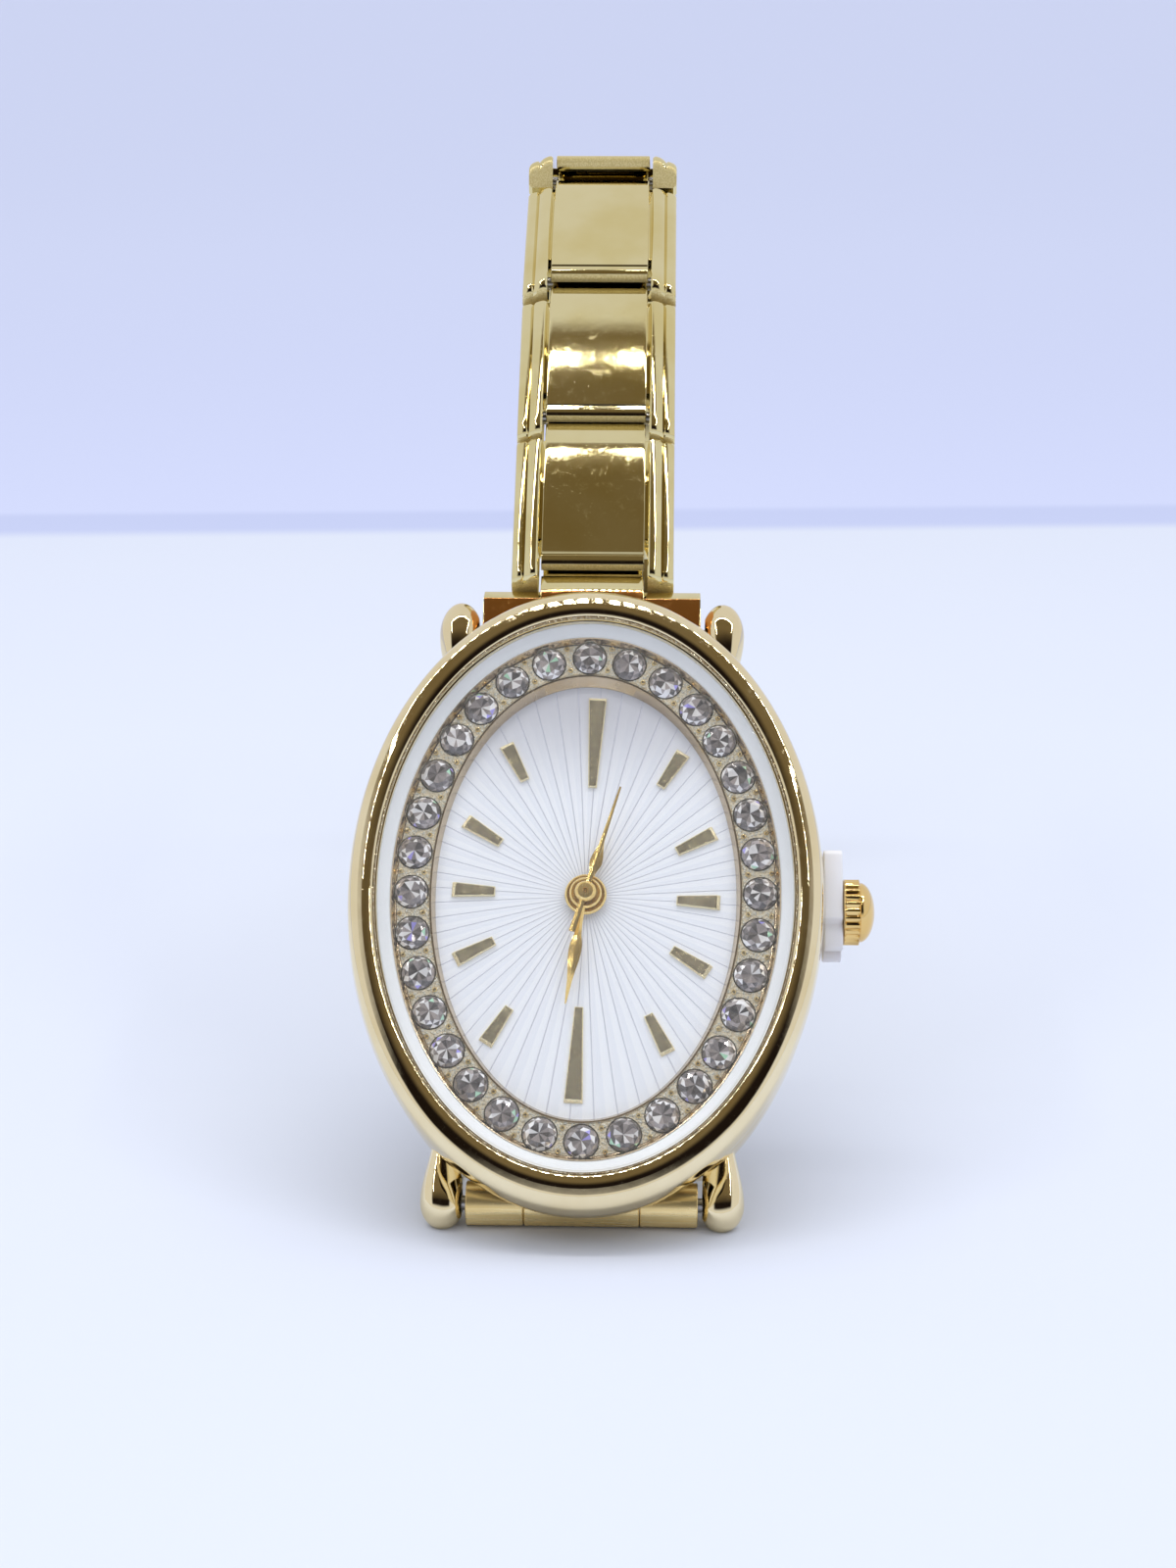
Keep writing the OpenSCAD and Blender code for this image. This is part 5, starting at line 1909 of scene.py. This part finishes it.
@dataclass
class Link:
    """One link: two ridged rails, a floor with a tongue, and a cover plate with bright edges.

    Args:
        pitch: Distance from one pin to the next.
        out: Height of the outer side above the pins.
        into: Depth of the inner side below them.
        rail_in: Inner side of the rails.
        rail_low: How far the rails reach past the pin.
        first_low: The same on the first link.
        high: Where the rails end.
        crown_h: How much the rails and the plate arch along the bracelet.
        end_r: Radius of the rails' ends.
        plate_y: Where the plate starts and ends.
        seat: Height of the plate's underside.
        open_number: The link whose tongue is open, where the loop parts.
    """

    pitch: float = 10.0
    out: float = 1.62
    into: float = 1.0
    rail_in: float = 3.05
    rail_out: float = 4.5
    rail_low: float = 2.08
    first_low: float = 1.8
    high: float = 7.72
    crown_h: float = 0.1
    end_r: float = 0.75
    plate_half: float = 2.85
    plate_y: Pair = (-1.03, 8.87)
    seat: float = 1.02
    floor_y: float = 1.0
    tongue_half: float = 2.75
    tongue_r: float = 0.75
    open_number: int = 7

    def _rail(self, number: int) -> Shape:
        """The right rail: its section swept along Y, with rounded ends.

        Args:
            number: Number of the link.

        Returns:
            The shape.
        """
        a, b, top = self.rail_in, self.rail_out, self.out
        w = b - a
        section = [(a, -self.into), (b - 0.2, -self.into), (b, -self.into + 0.2), (b, top - 0.72),
                   (b - 0.05 * w, top - 0.58), (b - 0.14 * w, top - 0.48), (b - 0.27 * w, top - 0.40),
                   (b - 0.37 * w, top - 0.37), (b - 0.44 * w, top - 0.44), (b - 0.5 * w, top - 0.34),
                   (b - 0.58 * w, top - 0.23), (b - 0.70 * w, top - 0.13), (a + 0.16 * w, top - 0.06),
                   (a + 0.08 * w, top - 0.06), (a, top - 0.14)]
        low, high = -(self.first_low if number == 1 else self.rail_low), self.high
        stations = [low, low + 0.05, low + 0.12, low + 0.22, low + 0.34, low + 0.5, low + 0.75, low + 1.2]
        stations += [low + 1.2 + (high - low - 1.7) * k / 6 for k in range(1, 7)]
        stations += [high - 0.25, high - 0.1, high]
        rail = bmesh.new()
        face = rail.faces.new([rail.verts.new((x, low, z)) for x, z in section])
        faces = [face]
        for before, after in zip(stations, stations[1:]):
            made = bmesh.ops.extrude_face_region(rail, geom=faces)
            verts = [item for item in made["geom"] if isinstance(item, bmesh.types.BMVert)]
            bmesh.ops.translate(rail, verts=verts, vec=(0, after - before, 0))
            bmesh.ops.delete(rail, geom=[old for old in faces if before > low + 1e-6], context="FACES_ONLY")
            faces = [item for item in made["geom"] if isinstance(item, bmesh.types.BMFace)]
        for vert in rail.verts:
            near, far = vert.co.y - low, high - vert.co.y
            if vert.co.z > 0.5:
                flat = self.end_r - min(near, self.end_r)
                drop = self.end_r - math.sqrt(max(0.0, self.end_r ** 2 - flat ** 2))
                arch = self.crown_h * (2 * near / (near + far) - 1) ** 2
                vert.co.z -= 0.9 * drop + arch + max(0.0, 0.25 - far) * 0.8
            elif near < 0.5:
                vert.co.z += 0.5 - near
        return outward(rail)

    def _plate(self) -> Shape:
        """The cover plate: a rounded nose with a fine groove, a flat mirror and a curved far end.

        Returns:
            The shape.
        """
        y0, y1 = self.plate_y
        top = self.out
        outline = [(y0 + 0.06, self.seat - 0.14), (y0, self.seat + 0.04), (y0, top - 0.34),
                   (y0 + 0.08, top - 0.15), (y0 + 0.24, top - 0.05), (y0 + 0.4, top - 0.03),
                   (y0 + 0.6, top - 0.04), (y0 + 0.68, top - 0.13), (y0 + 0.76, top - 0.13)]
        near, far = y0 + 0.86, y1 - 1.7
        outline += [(near + (far - near) * k / 12, top + self.crown_h * (0.35 - (k / 6 - 1) ** 2))
                    for k in range(13)]
        edge = top - 0.65 * self.crown_h
        outline += [(y1 - 1.35, edge - 0.04), (y1 - 0.95, edge - 0.13), (y1 - 0.55, edge - 0.27),
                    (y1 - 0.22, edge - 0.42), (y1, edge - 0.54), (y1, self.seat - 0.1)]
        plate = pressed(outline, -self.plate_half, self.plate_half)
        rims = [edge for edge in plate.edges
                if all(abs(abs(vert.co.x) - self.plate_half) < 1e-4 for vert in edge.verts)
                and abs(edge.verts[0].co.x - edge.verts[1].co.x) < 1e-4
                and max(vert.co.z for vert in edge.verts) > self.seat + 0.05]
        bmesh.ops.bevel(plate, geom=rims, offset=0.17, affect="EDGES", segments=3, profile=0.5, material=-1,
                        clamp_overlap=True)
        for x in (-self.plate_half + 0.24, self.plate_half - 0.24):
            bmesh.ops.bisect_plane(plate, geom=plate.verts[:] + plate.edges[:] + plate.faces[:], dist=1e-5,
                                   plane_co=(x, 0, 0), plane_no=(1, 0, 0))
        return plate

    def _floor(self, parts: bool) -> Shape:
        """The floor between the rails, and the tongue that holds the next pin.

        Args:
            parts: Whether the tongue has a flat end, where the loop can part.

        Returns:
            The floor with its tongue.
        """
        floor = softened(block((-self.rail_in - 0.1, self.floor_y, -self.into),
                               (self.rail_in + 0.1, self.high, self.seat)), 0.06)
        start = self.high - 0.4
        if parts:
            tongue = softened(block((-self.tongue_half, start, -self.tongue_r),
                                    (self.tongue_half, self.pitch - 0.43, self.tongue_r)), 0.2, 3)
        else:
            tongue = rolled_tongue(start, self.pitch, self.tongue_r, self.tongue_half)
        return joined([floor, tongue])

    @staticmethod
    def _ended(shape: Shape) -> Shape:
        """Marks the cut end that faces the link before, which is less polished.

        Args:
            shape: The shape, changed in place.

        Returns:
            The same shape.
        """
        shape.normal_update()
        for face in shape.faces:
            if face.normal.y < -0.8:
                face.material_index = 1
        return shape

    def shape(self, number: int) -> Shape:
        """The whole link in its own frame.

        Args:
            number: Number of the link.

        Returns:
            The shape.
        """
        floor = self._floor(number == self.open_number)
        rails = mirrored_pair(lambda: self._ended(self._rail(number)))
        return joined([rails, self._ended(self._plate()), floor])

    def add(self, stand: Stand, palette: Palette) -> None:
        """Puts every link in the scene.

        Args:
            stand: Where the pieces stand.
            palette: The finishes.
        """
        for number, place in enumerate(stand.links, 1):
            name = f"link_{number:02d}"
            Piece(f"{name}_dressed", name, (name,), Slot.LINK_GOLD, place,
                  (palette.link_gold, palette.end_gold), 28.0).add(self.shape(number))


# Studio


@dataclass
class Studio:
    """A pale table, a soft white surround with a dim front, and the camera of the photograph.

    Args:
        wall_foot_painted_shade: Painted shade at the foot of the wall, a little darker than the wall above.
        surround: Colour of the light all round.
        mirror: What polished metal sees all round.
        front_low: What it sees low in front.
        front_high: The same higher up.
        front_lift: Angles in degrees over which the dim front fades in at its foot.
        front_lid: Angles over which it fades out at its top.
        front_side: Share sideways at which it fades out.
        front_fade: Angles between its low and its high colour.
        table_drop: Gap that keeps the table clear of the watch.
        fade_y: Where the fold and the wall start and end behind the watch, in metres.
        fade_slope: How much the fold runs askew.
        diffuse_level: Strength of the light all round.
        low_sky: Its share from the sides.
        high_sky: Its share from above.
        sky_angle: Its width, in degrees.
        lamp_count: Lamps along the front strip.
        focal_px: Focal length in pixels of the photograph.
        distance: Distance of the camera from the stones.
        stones_z: Height of the stones in the case's frame.
        right: The camera's right, in the case's frame.
        up: The camera's up, in the case's frame.
        toward: The way back to the camera, in the case's frame.
        shift: How far the camera stands aside.
    """

    wall: Colour = (0.62, 0.655, 0.84)
    wall_foot_painted_shade: Colour = (0.583, 0.617, 0.81)
    # Painted shade along the crease between the table and the wall.
    fold: Colour = (0.511, 0.55, 0.753)
    table: Colour = (0.665, 0.695, 0.785)
    surround: Colour = (0.88, 0.92, 1.0)
    mirror: Colour = (0.77, 0.78, 0.83)
    front_low: Colour = (0.012, 0.008, 0.007)
    front_high: Colour = (0.18, 0.14, 0.08)
    front_lift: Pair = (6, 20)
    front_lid: Pair = (90, 87)
    front_side: Pair = (0.72, 0.56)
    front_fade: Pair = (34, 60)
    table_size: float = 60.0
    table_drop: float = 0.00002
    fade_y: tuple[float, float, float, float] = (0.183, 0.190, 0.198, 0.203)
    fade_slope: float = 0.083
    diffuse_level: float = 0.76
    low_sky: float = 0.42
    high_sky: float = 1.22
    sky_level: float = 0.9
    sky_angle: float = 55
    sky_way: Point = (-0.06, -0.22, -1.0)
    lamp_count: int = 33
    lamp_gap: float = 0.0175
    lamp_size: Pair = (0.0075, 0.009)
    lamp_level: float = 60.0
    lamp_front: float = -0.030
    lamp_above: float = 0.40
    focal_px: float = 3007.0
    frame_h: float = 1600.0
    sensor_h: float = 36.0
    distance: float = 155.0
    stones_z: float = 5.6
    right: Point = (0.9996, 0.0168, -0.0228)
    up: Point = (-0.0086, 0.9473, 0.3201)
    toward: Point = (0.027, -0.3198, 0.9471)
    shift: Point = (-0.1255, -5.731, 0.0)

    def add_camera(self, stand: Stand) -> None:
        """Sets the camera at the photograph's place, measured in the case's frame.

        Args:
            stand: Where the pieces stand.
        """
        turn = Matrix((self.right, self.up, self.toward))
        spot = turn.transposed() @ (Vector((0, 0, self.distance)) - Vector(self.shift))
        spot.z += self.stones_z
        data = bpy.data.cameras.new("photo_camera")
        data.sensor_fit = "VERTICAL"
        data.sensor_height = self.sensor_h
        data.lens = self.focal_px / self.frame_h * self.sensor_h
        data.clip_start = 0.005
        camera = bpy.data.objects.new("photo_camera", data)
        bpy.context.scene.collection.objects.link(camera)
        axes = (stand.case.to_3x3().normalized() @ turn.transposed()).to_4x4()
        axes.translation = stand.case @ spot
        camera.matrix_world = axes
        bpy.context.scene.camera = camera

    def add_table(self) -> None:
        """A wide pale table whose colour fades to the wall's, with painted shade along the crease and at the
        foot of the wall.
        """
        shape = bmesh.new()
        bmesh.ops.create_grid(shape, x_segments=2, y_segments=2, size=self.table_size / 2)
        bmesh.ops.translate(shape, verts=shape.verts[:], vec=(0, 0, -self.table_drop))
        table = set_down("table", shape)
        finish = Finish("table_paper")
        spot = finish.add("ShaderNodeSeparateXYZ")
        finish.feed(spot.inputs[0], finish.vector)
        askew = finish.maths("MULTIPLY", spot.outputs["X"], self.fade_slope)
        away = finish.maths("SUBTRACT", spot.outputs["Y"], askew)
        start, crease, edge, end = (value / MM for value in self.fade_y)
        cloud = finish.ramp(finish.noise(finish.vector, 0.02, 2.0), 0.3, 0.7, 0.0, 0.1)
        shade = finish.mix(cloud, self.table, self.wall)
        # Painted shade: a darker line at the crease, then a darker foot of the wall that fades to the wall's
        # colour.
        shade = finish.mix(finish.ramp(away, start, crease), shade, self.fold)
        shade = finish.mix(finish.ramp(away, edge, end), shade, self.wall_foot_painted_shade)
        shade = finish.mix(finish.ramp(away, end, 3 * end), shade, self.wall)
        finish.set(Base_Color=shade, Roughness=0.85, Specular_IOR_Level=0.2)
        table.data.materials.append(finish.material)

    def add_world(self) -> None:
        """A white surround; polished metal also sees the dim front of the photo tent."""
        world = bpy.data.worlds.new("photo_tent")
        bpy.context.scene.world = world
        world.use_nodes = True
        sheet = NodeSheet(world.node_tree)
        sheet.tree.nodes.clear()
        way = sheet.add("ShaderNodeSeparateXYZ")
        sheet.feed(way.inputs[0], sheet.add("ShaderNodeTexCoord").outputs["Generated"])
        lift = sheet.maths("ARCTAN2", way.outputs["Z"], sheet.maths("MULTIPLY", way.outputs["Y"], -1.0))
        above, below, high = (sheet.ramp(lift, *map(math.radians, span))
                              for span in (self.front_lift, self.front_lid, self.front_fade))
        beside = sheet.ramp(sheet.maths("ABSOLUTE", way.outputs["X"]), *self.front_side)
        opening = sheet.maths("MULTIPLY", sheet.maths("MULTIPLY", above, below), beside)
        dim = sheet.mix(high, self.front_low, self.front_high)
        seen = sheet.mix(opening, self.mirror, dim)
        path = sheet.add("ShaderNodeLightPath")
        gloss = sheet.add("ShaderNodeBackground")
        sheet.feed(gloss.inputs["Color"], seen)
        plain = sheet.add("ShaderNodeBackground")
        sheet.feed(plain.inputs["Color"], self.surround)
        rise = sheet.ramp(way.outputs["Z"], 0.0, 0.8, self.low_sky * self.diffuse_level,
                          self.high_sky * self.diffuse_level)
        sheet.feed(plain.inputs["Strength"], rise)
        wall = sheet.add("ShaderNodeBackground")
        sheet.feed(wall.inputs["Color"], self.wall)
        shown = sheet.add("ShaderNodeMixShader")
        mirrored = sheet.maths("MAXIMUM", path.outputs["Is Glossy Ray"], path.outputs["Is Transmission Ray"])
        sheet.feed(shown.inputs[0], mirrored)
        sheet.feed(shown.inputs[1], plain.outputs[0])
        sheet.feed(shown.inputs[2], gloss.outputs[0])
        final = sheet.add("ShaderNodeMixShader")
        sheet.feed(final.inputs[0], path.outputs["Is Camera Ray"])
        sheet.feed(final.inputs[1], shown.outputs[0])
        sheet.feed(final.inputs[2], wall.outputs[0])
        sheet.feed(sheet.add("ShaderNodeOutputWorld").inputs["Surface"], final.outputs[0])

    def add_lamps(self) -> None:
        """A soft light from above and behind, and strips of small bright lamps on three sides overhead."""
        data = bpy.data.lights.new("soft_top_light", "SUN")
        data.energy = self.sky_level
        data.angle = math.radians(self.sky_angle)
        soft = bpy.data.objects.new("soft_top_light", data)
        bpy.context.scene.collection.objects.link(soft)
        soft.matrix_world = Vector(self.sky_way).to_track_quat("-Z", "Y").to_matrix().to_4x4()
        soft.visible_glossy = False
        strip = bmesh.new()
        half, front, above = (self.lamp_count - 1) / 2 * self.lamp_gap, self.lamp_front, self.lamp_above
        places = [Matrix.Translation((index * self.lamp_gap - half, front, above))
                  for index in range(self.lamp_count)]
        for side in (-1, 1):
            places += [Matrix.Translation((side * half, front - index * self.lamp_gap, above))
                       @ Matrix.Rotation(math.pi / 2, 4, "Z") for index in range(1, self.lamp_count // 2)]
        for place in places:
            bmesh.ops.create_grid(strip, x_segments=1, y_segments=1, size=0.5,
                                  matrix=place @ Matrix.Diagonal((*self.lamp_size, 1, 1)))
        lamps = set_down("lamp_strip", strip)
        glow = Finish("lamp_glow")
        glow.set(Base_Color=(0.0, 0.0, 0.0), Emission_Color=(1.0, 1.0, 1.0),
                 Emission_Strength=self.lamp_level)
        lamps.data.materials.append(glow.material)

    def add(self, stand: Stand) -> None:
        """Sets up the whole studio.

        Args:
            stand: Where the pieces stand.
        """
        self.add_camera(stand)
        self.add_table()
        self.add_world()
        self.add_lamps()
        settings = bpy.context.scene.view_settings
        settings.view_transform = "Standard"


def dress_carried_nodes(frame: dict[str, Any], palette: Palette) -> None:
    """Gives the CAD nodes that stay their materials.

    Args:
        palette: The finishes.
    """
    for name, material in palette.of_carried_nodes().items():
        node = frame["nodes"][name]
        if not node.material_slots:
            node.data.materials.append(material)
        for entry in node.material_slots:
            entry.material = material
        LOG.info("%s: %s", name, material.name)


def main() -> None:
    """Builds the dressed watch and its studio."""
    logging.basicConfig(level=logging.INFO, format="%(message)s")
    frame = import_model()
    stand = Stand.from_frame(frame)
    Studio().add(stand)
    palette = Palette(stand.case)
    dress_carried_nodes(frame, palette)
    for group in (CaseShell(), Bezel(), Crystal(), ChapterRing(), StoneSetting(), Dial(), HourMarkers(),
                  HandSet(), Crown(), Adapters(), Link()):
        group.add(stand, palette)


if __name__ == "__main__":
    main()
